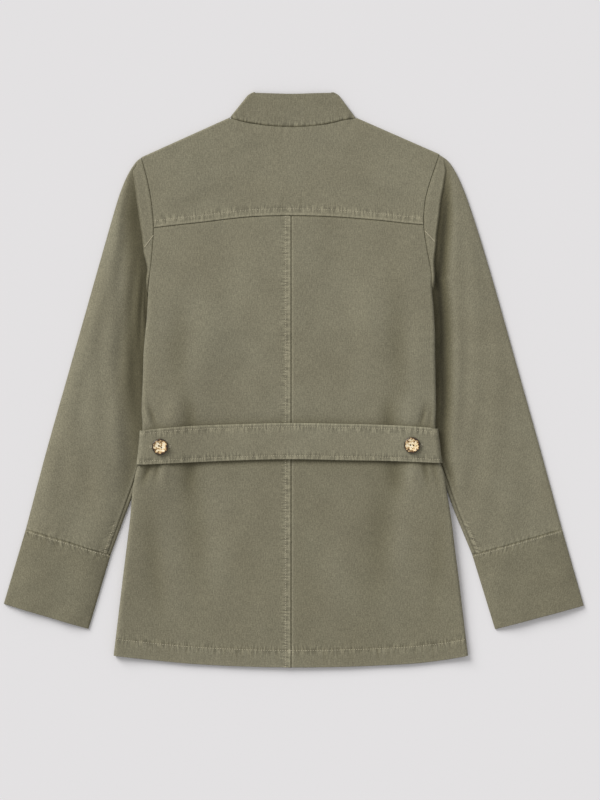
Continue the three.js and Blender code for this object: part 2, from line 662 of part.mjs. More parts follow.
// One front panel: lower layer from the side seam to its lap past the centre front
function frontPanel(side) {
  const inward = shoulderInward(side);
  const armhole = FRONT_ARMHOLE[side.name];
  const seamX = (y) => sideSeamX(side, y) - side.sign * (SEAM / 2);
  const lapX = CENTRE - side.sign * LAP;
  const flatEnd = CENTRE + side.sign * FRONT_FLAT_END;
  const neckColumns = NECK_ANGLES.map((angle) => {
    const x = CENTRE + side.sign * (neckWidth(side) + SEAM) * Math.cos(radians(angle));
    return point(x, side.neckY - (FRONT_NECK_DEPTH + SEAM) * Math.sin(radians(angle)), 0);
  });
  const tip = point(side.tipX - side.sign * TIP_CLEAR, side.tipY, 0)
    .addScaledVector(inward, SHOULDER_RETURN + SEAM + TIP_CLEAR);
  const corner = neckColumns[0];
  const tops = SHOULDER_COLUMNS.map((t) => corner.clone().lerp(tip, t));
  tops.push(...neckColumns);
  tops.push(point(CENTRE, frontNeckY(side, CENTRE, SEAM), 0));
  const topDrop = side.lap ? LAP_TOP_DROP.over : LAP_TOP_DROP.under;
  tops.push(point(lapX, frontNeckY(side, lapX, SEAM) - topDrop, 0));
  const lift = (x, y) => {
    const stays = 1 - smooth((y - FRONT_LIFT_END.y) / FRONT_LIFT_END.length);
    const hidden = lowerLift(side, x, y) * stays;
    const lap = side.lap * LAP_LIFT * smooth((LAP + LAP_RAMP - side.sign * (x - CENTRE)) / LAP_RAMP);
    return CLOTH / 2 + hidden + lap;
  };
  const xAt = (y, j) => {
    if (j === tops.length - 1) return lapX;
    if (j === tops.length - 2) return CENTRE;
    return mix(seamX(y), flatEnd, FRONT_COLUMNS[j]);
  };
  const grid = [];
  for (let k = armhole.length - 1; k >= 0; k -= 1) {
    const clear = k === armhole.length - 2 ? UNDERARM_CLEAR : 2 * SEAM;
    const target = k === 0 ? tip.clone() : point(armhole[k].x - side.sign * clear, armhole[k].y, 0);
    if (k === armhole.length - 1) target.x = seamX(UNDERARM_Y);
    const share = (target.y - UNDERARM_Y) / (tip.y - UNDERARM_Y);
    const straight = point(seamX(UNDERARM_Y), UNDERARM_Y, 0).lerp(tip, share);
    grid.unshift(tops.map((top, j) => {
      const weight = Math.max(0, 1 - j / 5) ** 2;
      const at = point(xAt(UNDERARM_Y, j), UNDERARM_Y, 0).lerp(top, share);
      at.addScaledVector(target.clone().sub(straight), weight);
      return point(at.x, at.y, lift(at.x, at.y));
    }));
  }
  const lines = [...BODY_LINES.filter((y) => y < UNDERARM_Y), HEM_FOLD_Y];
  for (const y of lines) {
    grid.push(tops.map((_, j) => {
      const x = xAt(y, j);
      return point(x, y + hemCurve(x, seamX(y), y), lift(x, y));
    }));
  }
  grid.push(tops.map((_, j) => {
    const x = xAt(HEM_EDGE_Y, j);
    return point(x, hemY(x) + FRONT_HEM_INSET, lift(x, HEM_EDGE_Y));
  }));
  return wall(grid, CLOTH);
}

// Stand collar: back half on top, folded at both sides, with two arms under it
function collar() {
  const rows = [0, 1 / 3, 2 / 3, 1];
  const lower = COLLAR / 2;
  const upper = CLOTH / 2 + LOFT + COLLAR_OVER;
  const foldLine = (side, t) => {
    const end = side === LEFT ? COLLAR_TOP[0] : COLLAR_TOP.at(-1);
    const start = point(side.neckX - side.sign * COLLAR_CORNER.in, side.neckY + COLLAR_CORNER.up, 0);
    return start.lerp(point(end.x, end.y, 0), t);
  };
  const half = (side, t) => {
    const points = [];
    const from = foldLine(side, t);
    const along = foldLine(side, 1).sub(foldLine(side, 0)).normalize();
    const into = point(side.sign * -along.y, side.sign * along.x, 0);
    const shares = acrossShares(side);
    const neckShare = shares[ACROSS.indexOf(null)];
    const turned = from.clone().addScaledVector(into, (upper - lower) / 2 + COLLAR / 2);
    for (let k = 0; k < ACROSS.indexOf(null); k += 1) {
      const neckX = mix(CENTRE, side.neckX, shares[k] / neckShare);
      const topX = mix(CENTRE, foldLine(side, 1).x, shares[k] / neckShare);
      const y = mix(curve(NECK_SEAM, 'y', neckX, 'x') + SEAM / 2, curve(COLLAR_TOP, 'y', topX, 'x'), t);
      points.push(point(mix(neckX, topX, t), y, upper));
    }
    points.push(point(turned.x, turned.y, upper));
    for (const step of foldSteps(upper, lower).reverse().slice(1)) {
      const at = from.clone().addScaledVector(into, step.inset + COLLAR / 2);
      points.push(point(at.x, at.y, step.z));
    }
    for (const angle of [...NECK_ANGLES.slice(1), 90]) {
      const across = side.sign * Math.cos(radians(angle));
      const down = Math.sin(radians(angle));
      const stand = Math.abs(foldLine(side, 1).x - CENTRE);
      const seam = point(CENTRE + neckWidth(side) * across, side.neckY - FRONT_NECK_DEPTH * down, lower);
      const free = point(CENTRE + stand * across, foldLine(side, 1).y - STAND_DEPTH * down, lower);
      const at = seam.lerp(free, t);
      if (angle === 90) at.x += side.sign * COLLAR_ARM_GAP;
      points.push(at);
    }
    return points;
  };
  const grid = rows.map((t) => [...half(LEFT, t).reverse(), ...half(RIGHT, t).slice(1)]);
  return wall(grid, COLLAR);
}

// Sleeves

const outerLength = (side) => byLength(OUTER[side.name]);
const innerLength = (side) => {
  const rows = INNER.filter((row) => row.y <= UNDERARM_Y && row.y >= CUFF_SEAM_Y);
  return byLength(rows.map((row) => ({ x: row[side.name], y: row.y })));
};

// One row of a sleeve: place(u) on the upper or the lower layer, its width and its fold height
function sleeveRow(side, index) {
  const t = SLEEVE_ROWS[index];
  const outer = outerLength(side);
  const inner = innerLength(side);
  const so = t * outer.at(-1).s;
  const si = t * inner.at(-1).s;
  const from = point(curve(outer, 'x', so, 's'), curve(outer, 'y', so, 's'), 0);
  const to = point(line(inner, 'x', si, 's'), line(inner, 'y', si, 's'), 0);
  const width = from.distanceTo(to);
  const chordStart = point(side.tipX, side.tipY, 0);
  const chordEnd = point(inner[0].x, inner[0].y, 0);
  const bend = (table, u) => {
    const on = point(curve(table, 'x', u, 'u'), curve(table, 'y', u, 'u'), 0);
    return on.sub(chordStart.clone().lerp(chordEnd, u)).multiplyScalar((1 - t) ** 3);
  };
  const armhole = ARMHOLE[side.name];
  const beside = (u) => {
    const du = 0.01;
    const dx = curve(armhole, 'x', u + du, 'u') - curve(armhole, 'x', u - du, 'u');
    const dy = curve(armhole, 'y', u + du, 'u') - curve(armhole, 'y', u - du, 'u');
    const length = Math.hypot(dx, dy);
    const out = line(armhole, 'ledge', u, 'u') + (index === 2 ? LEDGE_FOOT : 0);
    const at = point(curve(armhole, 'x', u, 'u'), curve(armhole, 'y', u, 'u'), 0);
    const turned = point((-side.sign * dy) / length, (side.sign * dx) / length, 0);
    const free = at.addScaledVector(turned, out);
    const tied = from.clone().lerp(to, u).add(bend(armhole, u));
    const blend = Math.min(smooth(u / TIP_SHARE), smooth((1 - u) / UNDERARM_SHARE));
    return tied.lerp(free, blend);
  };
  const upper = (u) => {
    if (index === 1 || index === 2) return beside(u);
    return from.clone().lerp(to, u).add(bend(armhole, u));
  };
  const lower = (u) => from.clone().lerp(to, u).add(bend(FRONT_ARMHOLE[side.name], u));
  const foldTop = HEAD_HEIGHTS[index] ?? SLEEVE_EDGE;
  return { index, upper, lower, width, foldTop };
}

function upperSleeveHeight(side, row, at, u) {
  const free = sleeveHeight(side, at.x, at.y, u * row.width, row.width);
  if (row.index > 1) return Math.max(SLEEVE_LOW, free);
  if (u > LEDGE_END) return SLEEVE_LOW;
  return mix(row.foldTop, backHeight(at.x, at.y), smooth(u / TIP_SHARE));
}

function sleeveTop(side) {
  const last = SLEEVE_ROWS.length - 1;
  const grid = SLEEVE_ROWS.map((_, index) => {
    const row = sleeveRow(side, index);
    const shift = index === 0 ? side.sign * (SEAM / 2) : 0;
    const end = index === last ? SEAM / 2 : 0;
    const along = row.upper(1).sub(row.upper(0)).normalize();
    const back = point(side.sign * -along.y, side.sign * along.x, 0).multiplyScalar(-end);
    const points = [];
    const under = row.lower((SEAM_UNDER - SEAM / 2) / row.width);
    points.push(point(under.x + shift, under.y, CLOTH / 2));
    for (const step of foldSteps(row.foldTop, CLOTH / 2)) {
      const at = row.upper((step.inset + CLOTH / 2) / row.width);
      points.push(point(at.x + shift, at.y, step.z));
    }
    for (const { u } of ARMHOLE[side.name].slice(1, -1)) {
      const at = row.upper(u);
      points.push(point(at.x + shift, at.y, upperSleeveHeight(side, row, at, u)));
    }
    const u = 1 - (SEAM_INNER + SEAM / 2) / row.width;
    const at = row.upper(u);
    points.push(point(at.x + shift, at.y, upperSleeveHeight(side, row, at, u)));
    return points.map((p) => p.add(back));
  });
  return wall(grid, CLOTH);
}

function sleeveUnder(side) {
  const last = SLEEVE_ROWS.length - 1;
  const indices = SLEEVE_ROWS.map((_, index) => index).filter((index) => index !== 1);
  const grid = indices.map((index) => {
    const row = sleeveRow(side, index);
    const shift = index === 0 ? side.sign * (SEAM / 2) : 0;
    const end = index === last ? SEAM / 2 : 0;
    const along = row.lower(1).sub(row.lower(0)).normalize();
    const back = point(side.sign * -along.y, side.sign * along.x, 0).multiplyScalar(-end);
    const points = [];
    const start = row.lower((SEAM_UNDER + SEAM / 2) / row.width);
    points.push(point(start.x + shift, start.y, CLOTH / 2));
    for (const { u } of FRONT_ARMHOLE[side.name].slice(1, -1)) {
      const at = row.lower(u);
      points.push(point(at.x + shift, at.y, CLOTH / 2));
    }
    for (const step of foldSteps(SLEEVE_LOW, CLOTH / 2)) {
      const at = row.lower(1 - (step.inset + CLOTH / 2) / row.width);
      points.push(point(at.x, at.y, step.z));
    }
    const u = 1 - (SEAM_INNER - SEAM / 2) / row.width;
    const at = row.upper(u);
    points.push(point(at.x, at.y, upperSleeveHeight(side, row, at, u)));
    return points.map((p) => p.add(back));
  });
  return wall(grid, CLOTH);
}

// A plain cuff: a flattened band from the cuff seam to its free edge
function cuff(side) {
  const seam = sleeveRow(side, SLEEVE_ROWS.length - 1);
  const ends = CUFF_END[side.name];
  const outerStart = seam.upper(0);
  const innerStart = seam.upper(1);
  const outerEnd = point(ends.outerX, ends.outerY, 0);
  const innerEnd = point(ends.innerX, ends.innerY, 0);
  const forward = outerEnd.clone().sub(outerStart).normalize();
  const grid = CUFF_ROWS.map((t, index) => {
    const from = outerStart.clone().lerp(outerEnd, t).addScaledVector(forward, index === 0 ? SEAM / 2 : 0);
    const to = innerStart.clone().lerp(innerEnd, t).addScaledVector(forward, index === 0 ? SEAM / 2 : 0);
    const width = from.distanceTo(to);
    const place = (s, z) => {
      const at = from.clone().lerp(to, s / width);
      return point(at.x, at.y, z);
    };
    const top = mix(SLEEVE_PLATEAU, CUFF_END_HEIGHT, t);
    const points = [];
    for (const step of foldSteps(SLEEVE_EDGE, CLOTH / 2)) {
      points.push(place(step.inset + CLOTH / 2, step.z));
    }
    for (const u of CUFF_COLUMNS) {
      const s = u * width;
      const outer = SLEEVE_EDGE + (top - SLEEVE_EDGE) * smooth(s / SLEEVE_SOFT);
      const inner = SLEEVE_LOW + (top - SLEEVE_LOW) * smooth((width - s) / SLEEVE_SOFT);
      points.push(place(s, Math.min(outer, inner)));
    }
    for (const step of foldSteps(SLEEVE_LOW, CLOTH / 2).reverse()) {
      points.push(place(width - step.inset - CLOTH / 2, step.z));
    }
    for (const u of CUFF_UNDER_COLUMNS) points.push(place(u * width, CLOTH / 2));
    return points;
  });
  return wall(grid, CLOTH, { closed: true });
}

// Half belt and buttons

const beltHeight = (x, y) => backHeight(x, y) + CLOTH / 2 + BELT_GAP + BELT / 2;

// The half belt, on the back's own points moved out, bent round both side folds
function halfBelt() {
  const over = CLOTH / 2 + BELT_GAP + BELT / 2;
  const half = (side, t) => {
    const points = [];
    const yAt = (x) => mix(curve(BELT_EDGES, 'top', x, 'x'), curve(BELT_EDGES, 'bottom', x, 'x'), t);
    const y = yAt(side.tipX);
    const edge = sideX(side, y);
    const upper = backHeight(edge, y);
    const lower = CLOTH / 2 + lowerLift(side, edge, y);
    const radius = (upper - lower) / 2;
    const turned = edge - side.sign * (radius + CLOTH / 2);
    for (const share of acrossShares(side).slice(0, -1)) {
      const x = mix(CENTRE, turned, share);
      points.push(point(x, yAt(x), beltHeight(x, yAt(x))));
    }
    for (const degrees of [...BELT_WRAP].reverse()) {
      const reach = radius + over + BELT_SLACK * Math.cos(radians(degrees));
      const x = turned + side.sign * reach * Math.cos(radians(degrees));
      const z = lower + radius + reach * Math.sin(radians(degrees));
      points.push(point(x, y, z));
    }
    return points;
  };
  const rows = [0, 0.25, 0.5, 0.75, 1];
  const grid = rows.map((t) => [...half(LEFT, t).reverse(), ...half(RIGHT, t).slice(1)]);
  return wall(grid, BELT);
}

function toManifold(geometry) {
  const bare = new THREE.BufferGeometry();
  bare.setAttribute('position', geometry.getAttribute('position').clone());
  if (geometry.index) bare.setIndex(geometry.index.clone());
  const merged = mergeVertices(bare, 1e-4);
  const vertProperties = new Float32Array(merged.getAttribute('position').array);
  return new wasm.Manifold(new wasm.Mesh({
    numProp: 3,
    vertProperties,
    triVerts: new Uint32Array(merged.index.array),
  }));
}

function fromManifold(solid) {
  const mesh = solid.getMesh();
  return solidFrom(Array.from(mesh.vertProperties), Array.from(mesh.triVerts));
}

// A two-hole button with a raised rim and a dished face
function buttonGeometry(turn) {
  const profile = [
    [0, 0],
    [0.88, 0],
    [1, 0.25],
    [1, 0.6],
    [0.9, 0.95],
    [0.8, 1],
    [0.66, 0.82],
    [0.5, 0.68],
    [0, 0.6],
  ].map(([r, h]) => new THREE.Vector2(r * BUTTON_RADIUS, h * BUTTON_HEIGHT));
  const body = new THREE.LatheGeometry(profile, 24);
  body.rotateX(Math.PI / 2);
  const drill = (x) => {
    const hole = new THREE.CylinderGeometry(BUTTON_HOLE, BUTTON_HOLE, 3 * BUTTON_HEIGHT, 10);
    hole.rotateX(Math.PI / 2);
    hole.translate(x, 0, 0);
    return toManifold(hole);
  };
  const solid = toManifold(body)
    .subtract(drill(-BUTTON_HOLE_SPACING / 2))
    .subtract(drill(BUTTON_HOLE_SPACING / 2));
  const geometry = fromManifold(solid);
  geometry.rotateZ(radians(turn));
  return geometry;
}

function buttonMesh({ name, x, y, turn }) {
  const reach = BUTTON_RADIUS;
  const slopeX = (beltHeight(x + reach, y) - beltHeight(x - reach, y)) / (2 * reach);
  const normal = point(-slopeX, 0, 1).normalize();
  const middle = Math.max(
    beltHeight(x, y),
    (beltHeight(x + reach, y) + beltHeight(x - reach, y)) / 2,
  );
  const mesh = piece(name, buttonGeometry(turn), TORTOISESHELL, 0.3);
  mesh.quaternion.setFromUnitVectors(point(0, 0, 1), normal);
  mesh.position.set(x, y, middle).addScaledVector(normal, BELT / 2 + 2 * SEAM);
  return mesh;
}

// Assembly

function piece(name, geometry, colour, roughness = 0.9) {
  const material = new THREE.MeshStandardMaterial({ color: colour, roughness, metalness: 0 });
  const mesh = new THREE.Mesh(geometry, material);
  mesh.name = name;
  return mesh;
}

const jacket = new THREE.Group();
jacket.name = 'jacket';
jacket.add(piece('collar', collar(), KHAKI));
jacket.add(piece('yoke', yoke(), KHAKI_LIGHT));
for (const side of [LEFT, RIGHT]) {
  jacket.add(piece(`back_${side.name}`, backPanel(side), KHAKI));
  jacket.add(piece(`front_${side.name}`, frontPanel(side), KHAKI_DARK));
  jacket.add(piece(`sleeve_top_${side.name}`, sleeveTop(side), KHAKI));
  jacket.add(piece(`sleeve_under_${side.name}`, sleeveUnder(side), KHAKI_DARK));
  jacket.add(piece(`cuff_${side.name}`, cuff(side), KHAKI_DARK));
}
jacket.add(piece('half_belt', halfBelt(), KHAKI_LIGHT));
for (const button of BUTTONS) jacket.add(buttonMesh(button));

export default jacket;
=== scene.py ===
import math

import bpy
import numpy as np
from mathutils import Matrix, Vector


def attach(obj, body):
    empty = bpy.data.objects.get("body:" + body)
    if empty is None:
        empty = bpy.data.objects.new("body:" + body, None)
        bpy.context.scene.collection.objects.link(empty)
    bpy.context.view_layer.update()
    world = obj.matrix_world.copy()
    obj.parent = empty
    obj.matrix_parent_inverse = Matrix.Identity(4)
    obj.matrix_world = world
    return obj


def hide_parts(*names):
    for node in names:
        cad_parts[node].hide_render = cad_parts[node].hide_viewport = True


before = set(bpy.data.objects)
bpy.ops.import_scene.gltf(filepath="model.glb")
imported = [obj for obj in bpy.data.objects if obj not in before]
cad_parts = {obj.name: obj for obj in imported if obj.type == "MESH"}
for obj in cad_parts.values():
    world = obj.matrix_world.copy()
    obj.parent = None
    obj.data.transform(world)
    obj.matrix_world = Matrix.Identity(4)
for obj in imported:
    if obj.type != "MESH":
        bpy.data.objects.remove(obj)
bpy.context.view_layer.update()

# A cotton utility jacket laid flat with its back up: cloth shells on the solids' form, with
# seams, creases, topstitching, buttonholes and buttons. Tables are in millimetres, meshes in
# metres. X runs to the wearer's right, Y up the back to the collar, Z up from the surface.

bl_info = {
    "name": "Utility Jacket, Back Up",
    "version": (1, 0, 0),
    "blender": (4, 5, 0),
    "location": "View3D > Sidebar > Jacket",
    "description": "Builds the cloth, sewing and buttons of a utility jacket laid flat",
    "category": "Object",
}

MM = 0.001

# How the garment lies. A seam is a gap between two pieces, and heights are of the middle of
# the cloth above the surface.
SEAM = 0.3
CLOTH = 1.2
LOFT = 3.6
CENTRE = -3.5
UNDERARM_Y = 66
ARMHOLE_END = 125

# Lift of the body where the sleeve lies under it, and how far in that lift begins
SLEEVE_UNDER = 3.1
UNDER_MARGIN = 8
UNDER_RAMP = 22
BACK_RAMP = 85

# The back starts to fold over this far above the armhole's end
TURN_START = 22

# The fronts' lap, the neck and the shoulder's narrow return
LAP = 20
LAP_LIFT = 1.9
LAP_RAMP = 17
FRONT_NECK_DEPTH = 72
STAND_DEPTH = 62
SHOULDER_RETURN = 7
TIP_CLEAR = 0.6

# How wide a back panel is, how deep the yoke is and how long a shoulder is, for the spacing of
# their points
BACK_WIDTH = 200
YOKE_DEPTH = 130
SHOULDER_LENGTH = 105

# The hem's depth and edge, and how its curve fades out up the back
HEM = 22
HEM_FOLD_Y = -338
HEM_EDGE_Y = -359
HEM_CURVE_FROM = -240
HEM_CURVE_LENGTH = 90
FRONT_HEM_INSET = 1.2

# The sleeve: heights at its inner fold, its outer fold and its middle, and how it rounds up
SLEEVE_LOW = 2.2
SLEEVE_EDGE = 3.0
SLEEVE_FULL = 8.8
SLEEVE_ROUND = 34
SLEEVE_LENGTH = 500
SEAM_UNDER = 20
SEAM_INNER = 4.6
INNER_STRIP = 2.2
LEDGE_FOOT = 2.6
CUFF_SEAM_Y = -227.3
CUFF_END_HEIGHT = 6.4

# Shares of the sleeve's length where its folded head ends, and the step down from it
HEAD_END = 0.0124
STEP_END = 0.0187

# The grain of the sleeves leans with them, in degrees
SLEEVE_LEAN = -16.5

COLLAR_DEPTH = 42
COLLAR_OVER = 0.2
COLLAR_CORNER = (0.2, 0.7)
COLLAR_ARM_GAP = 0.6
COLLAR_ROUND = 4.4

BELT_DEPTH = 45
BELT_GAP = 0.9
BELT_SLACK = 0.5

# Where the sewing lies, measured from its seam or edge, and how far its pull is seen
YOKE_STITCH = 8.5
CENTRE_STITCH = 7.2
BELT_STITCH = 4.4
SLEEVE_STITCH = 4.6
PULL_REACH = 5.5

BUTTON_RADIUS = 10.5
BUTTON_HEIGHT = 3.2
BUTTON_HOLE = 1.05
BUTTON_HOLE_SPACING = 4.0
BUTTONHOLE_LENGTH = 27
BUTTONHOLE_HALF = 0.9

# Tone of the cuffs, which lie a little in the shade of the sleeves' ends
CUFF_TONE = 0.865

# The surface is far larger than the jacket, so that its edges stay out of sight, and a tenth
# of a millimetre below it, both in metres
FLOOR_SIZE = 24
FLOOR_Z = -0.0001
# The key light's size in the sky, in degrees, and the way that its light goes
KEY_SIZE = 34
KEY_WAY = (0.56, -0.6, -0.46)
# The camera's lens and sensor in millimetres, and its place over the jacket in metres
CAMERA_LENS = 100
CAMERA_SENSOR = 36
CAMERA_PLACE = (0.0081, -0.026)


class Side:
    """One half of the jacket: its name, the sign of X, its neck point and shoulder tip, and
    whether its front laps over the other."""

    def __init__(self, name, sign, neck, tip, laps):
        self.name = name
        self.sign = sign
        self.neck = np.array(neck)
        self.tip = np.array(tip)
        self.laps = laps


LEFT = Side("left", -1, (-83.1, 341.1), (-198.3, 289.1), 1)
RIGHT = Side("right", 1, (80.3, 341.1), (189.3, 293.3), 0)


class Table:
    """A short table of measurements with named columns."""

    def __init__(self, names, rows):
        self.columns = dict(zip(names.split(), np.array(rows, float).T))

    def place(self, by, at):
        places = self.columns[by]
        way = 1 if places[1] > places[0] else -1
        found = np.searchsorted(way * places[1:], way * np.asarray(at, float))
        return places, np.clip(found, 0, len(places) - 2)

    def line(self, column, at, by="y"):
        """Straight lines between the rows, carried on past the ends."""
        places, i = self.place(by, at)
        values = self.columns[column]
        t = (at - places[i]) / (places[i + 1] - places[i])
        return values[i] + (values[i + 1] - values[i]) * t

    def curve(self, column, at, by="y"):
        """A smooth curve through the rows, straight past the ends."""
        places, i = self.place(by, at)
        values = self.columns[column]
        slopes = np.diff(values) / np.diff(places)
        tangents = np.concatenate([slopes[:1], (slopes[1:] + slopes[:-1]) / 2, slopes[-1:]])
        step = places[i + 1] - places[i]
        t = (at - places[i]) / step
        c = np.clip(t, 0, 1)
        inside = (
            (2 * c**3 - 3 * c**2 + 1) * values[i]
            + (c**3 - 2 * c**2 + c) * step * tangents[i]
            + (3 * c**2 - 2 * c**3) * values[i + 1]
            + (c**3 - c**2) * step * tangents[i + 1]
        )
        after = np.where(t > 1, (t - 1) * step * tangents[i + 1], 0)
        return inside + np.where(t < 0, t * step * tangents[i], after)

    def spot(self, at, by="u"):
        """The x and y of the smooth curve through the rows."""
        return np.stack([self.curve("x", at, by), self.curve("y", at, by)], -1)


def both_sides(shared, names, rows):
    """A table for each side, from rows with the left one's values and then the right one's."""
    first, width = len(shared.split()), len(names.split())
    left = [row[:first + width] for row in rows]
    right = [row[:first] + row[first + width:] for row in rows]
    return {"left": Table(f"{shared} {names}", left), "right": Table(f"{shared} {names}", right)}


# Side folds of the body, and of the sleeves' heads above them
SIDE_FOLD = Table("y left right", [
    (124.0, -188.7, 179.3),
    (100.0, -190.0, 181.4),
    (78.0, -191.4, 182.8),
    (60.0, -193.1, 183.6),
    (39.0, -194.9, 183.6),
    (0.0, -196.2, 184.3),
    (-39.0, -197.6, 184.7),
    (-58.0, -196.6, 184.0),
    (-84.0, -198.2, 186.6),
    (-108.0, -201.3, 190.0),
    (-118.0, -204.6, 194.2),
    (-136.5, -208.5, 197.4),
    (-182.0, -212.9, 204.9),
    (-213.8, -216.8, 208.8),
    (-255.5, -222.0, 214.3),
    (-297.1, -227.0, 219.2),
    (-338.7, -232.0, 224.3),
    (-360.0, -234.6, 226.9),
])
HEAD_FOLD = Table("y left right", [
    (286.0, -204.4, 196.9),
    (274.4, -207.2, 196.6),
    (257.9, -204.6, 194.3),
    (238.0, -202.1, 191.6),
    (214.8, -198.8, 188.8),
    (181.6, -194.7, 185.2),
    (155.0, -191.3, 182.1),
    (137.8, -189.7, 180.1),
])

# Where those folds end, and the height of the belt's middle
SIDE_FOLD_TOP = 124
HEAD_FOLD_END = 134
BELT_Y = -83

# Armhole seam on the upper layer, from the shoulder's tip, and the width of folded sleeve head
# beside it
ARMHOLE = both_sides("u", "x y ledge", [
    (0.00, -198.3, 289.1, 6.0, 189.3, 293.3, 6.0),
    (0.07, -193.9, 274.4, 13.3, 183.4, 276.6, 12.6),
    (0.14, -189.7, 257.9, 14.9, 176.7, 256.8, 16.2),
    (0.23, -185.6, 236.3, 16.3, 171.0, 235.2, 17.8),
    (0.32, -183.1, 214.8, 15.7, 168.8, 215.3, 17.8),
    (0.40, -181.9, 198.1, 14.6, 168.5, 202.0, 16.6),
    (0.54, -183.9, 165.0, 8.7, 172.7, 170.6, 9.6),
    (0.62, -185.7, 145.1, 1.8, 176.0, 153.0, 3.9),
    (0.70, -188.7, 125.0, 0.4, 179.3, 125.0, 0.7),
    (0.75, -186.5, 113.5, 1.4, 175.5, 113.5, 1.4),
    (0.83, -182.0, 97.0, 1.4, 171.5, 97.0, 1.4),
    (0.91, -160.0, 78.0, 1.4, 152.0, 78.0, 1.4),
    (1.00, -132.0, 66.0, 1.4, 126.0, 66.0, 1.4),
])

# Where the yoke's seam meets the armhole: its height up the back, and its share of the armhole
YOKE_EDGE = {"left": 198.1, "right": 202.0}
YOKE_EDGE_SHARE = 0.40

# The sleeve's back seam where it crosses the folded head, from the armhole out
HEAD_SEAM = {
    "left": ((-183.0, 187.2), (-193.4, 172.9)),
    "right": ((171.0, 192.9), (182.6, 180.4)),
}

# Armhole seam on the lower layer
FRONT_ARMHOLE = both_sides("u", "x y", [
    (0.00, -198.3, 289.1, 189.3, 293.3),
    (0.34, -175.0, 228.0, 166.0, 230.0),
    (0.52, -166.0, 190.0, 157.0, 190.0),
    (0.68, -161.0, 150.0, 152.5, 150.0),
    (0.84, -154.0, 112.0, 146.0, 112.0),
    (1.00, -132.0, 66.0, 126.0, 66.0),
])

# Inner folds of the sleeves and cuffs, and the sleeves' outer folds from the tip to the cuff
INNER = Table("y left right", [
    (300, -196, 188),
    (200, -178, 166),
    (124, -158, 150),
    (66, -132, 126),
    (-172.2, -218.0, 209.4),
    (-227.3, -238.3, 232.2),
    (-324.0, -267.1, 262.0),
    (-380.0, -283.8, 279.0),
])
OUTER = both_sides("", "x y", [
    (-198.3, 289.1, 189.3, 293.3),
    (-203.4, 285.4, 200.3, 285.4),
    (-211.3, 274.9, 207.9, 274.9),
    (-217.0, 264.6, 213.5, 264.6),
    (-225.6, 243.8, 222.4, 243.8),
    (-232.2, 223.0, 229.8, 223.0),
    (-244.2, 181.3, 243.3, 181.3),
    (-261.9, 119.0, 261.8, 119.0),
    (-291.4, 15.0, 291.1, 15.0),
    (-320.9, -89.0, 320.4, -89.0),
    (-348.7, -194.1, 349.1, -194.1),
])

# Free corners of the cuffs, at the outer fold and at the inner one
CUFF_END = {
    "left": ((-377.4, -291.1), (-267.1, -323.8)),
    "right": ((377.4, -293.4), (262.0, -324.2)),
}

# Height of the body above its lowest, and of the sleeve's cloth beside the body
LIFT = Table("y height", [
    (345, 0),
    (289, 0.4),
    (258, 1.3),
    (198, 2.2),
    (165, 3.2),
    (124, 5.0),
    (66, 6.2),
    (-150, 6.2),
    (-420, 4.4),
])
TROUGH = Table("y height", [(290, 3.6), (230, 3.0), (150, 2.2), (-400, 2.2)])

# The hollow in each sleeve beside the body: where it starts to rise, over what width, and how
# much painted shade darkens it
HOLLOW = Table("y left_start left_reach left_shade right_start right_reach right_shade", [
    (286, 1, 20, 0.12, 0, 16, 0.36),
    (250, 3, 26, 0.40, 2, 20, 0.66),
    (215, 5, 38, 0.58, 6, 22, 0.76),
    (120, 6, 44, 0.58, 8, 26, 0.80),
    (0, 6, 44, 0.56, 8, 26, 0.80),
    (-60, 5, 36, 0.42, 7, 24, 0.72),
    (-120, 3, 30, 0.20, 3, 20, 0.48),
    (-180, 2, 20, 0.04, 2, 16, 0.10),
    (-230, 2, 20, 0.0, 2, 16, 0.0),
])

# Share of that painted shade right beside the fold
HOLLOW_BY_FOLD = {"left": 0.95, "right": 0.66}

# Painted shade on the inner fold of the sleeve and of the cuff, on the left only, where the fold
# faces away from the light
INNER_FOLD_SHADE = {"left": 0.74, "right": 1.0}

# How far the back returns under the side fold, to the side seam
RETURN = Table("y width", [(124, 50), (66, 52), (0, 40), (-84, 27), (-182, 17), (-360, 9)])

# How much of the yoke seam's slope and of the return's drop each row of the back keeps, and
# that drop across the return
SEAM_SLOPE = Table("y share", [(202, 1), (165, 0.6), (145, 0.3), (125, 0.1), (98, 0)])
RETURN_DROP = Table("y share", [(125, 1), (98, 0.7), (66, 0.25), (30, 0)])
RETURN_COLUMNS = Table("share drop", [(0, 7), (0.33, 28), (0.66, 47), (1, 60)])

# Seams and edges across the back
YOKE_SEAM = Table("x y", [
    (-181.9, 198.1),
    (-147.9, 202.2),
    (-116.7, 205.7),
    (-85.5, 209.6),
    (-54.3, 212.7),
    (-3.5, 214.1),
    (54.9, 212.3),
    (86.1, 210.0),
    (117.3, 207.2),
    (148.5, 203.7),
    (168.5, 202.0),
])
NECK_SEAM = Table("x y", [
    (-83.1, 341.1),
    (-69.9, 337.2),
    (-49.1, 333.3),
    (-28.3, 330.6),
    (-3.5, 329.4),
    (23.7, 330.6),
    (44.5, 333.6),
    (65.3, 338.3),
    (80.3, 341.4),
])
COLLAR_TOP = Table("x y", [
    (-57.4, 373.7),
    (-30.9, 372.9),
    (-3.5, 372.2),
    (23.7, 372.9),
    (56.4, 373.7),
])
HEM_LINE = Table("x y", [
    (-234.6, -358.4),
    (-186.9, -363.9),
    (-129.4, -369.3),
    (-56.9, -372.8),
    (-3.5, -373.7),
    (47.1, -373.4),
    (112.1, -371.2),
    (161.5, -368.2),
    (195.3, -364.0),
    (226.9, -358.4),
])
BELT_EDGES = Table("x top bottom", [
    (-204.0, -66.2, -110.0),
    (-137.5, -60.2, -107.0),
    (-64.7, -57.5, -104.0),
    (-3.5, -56.2, -102.8),
    (62.7, -57.2, -104.0),
    (135.5, -59.3, -105.3),
    (194.0, -63.5, -107.8),
])

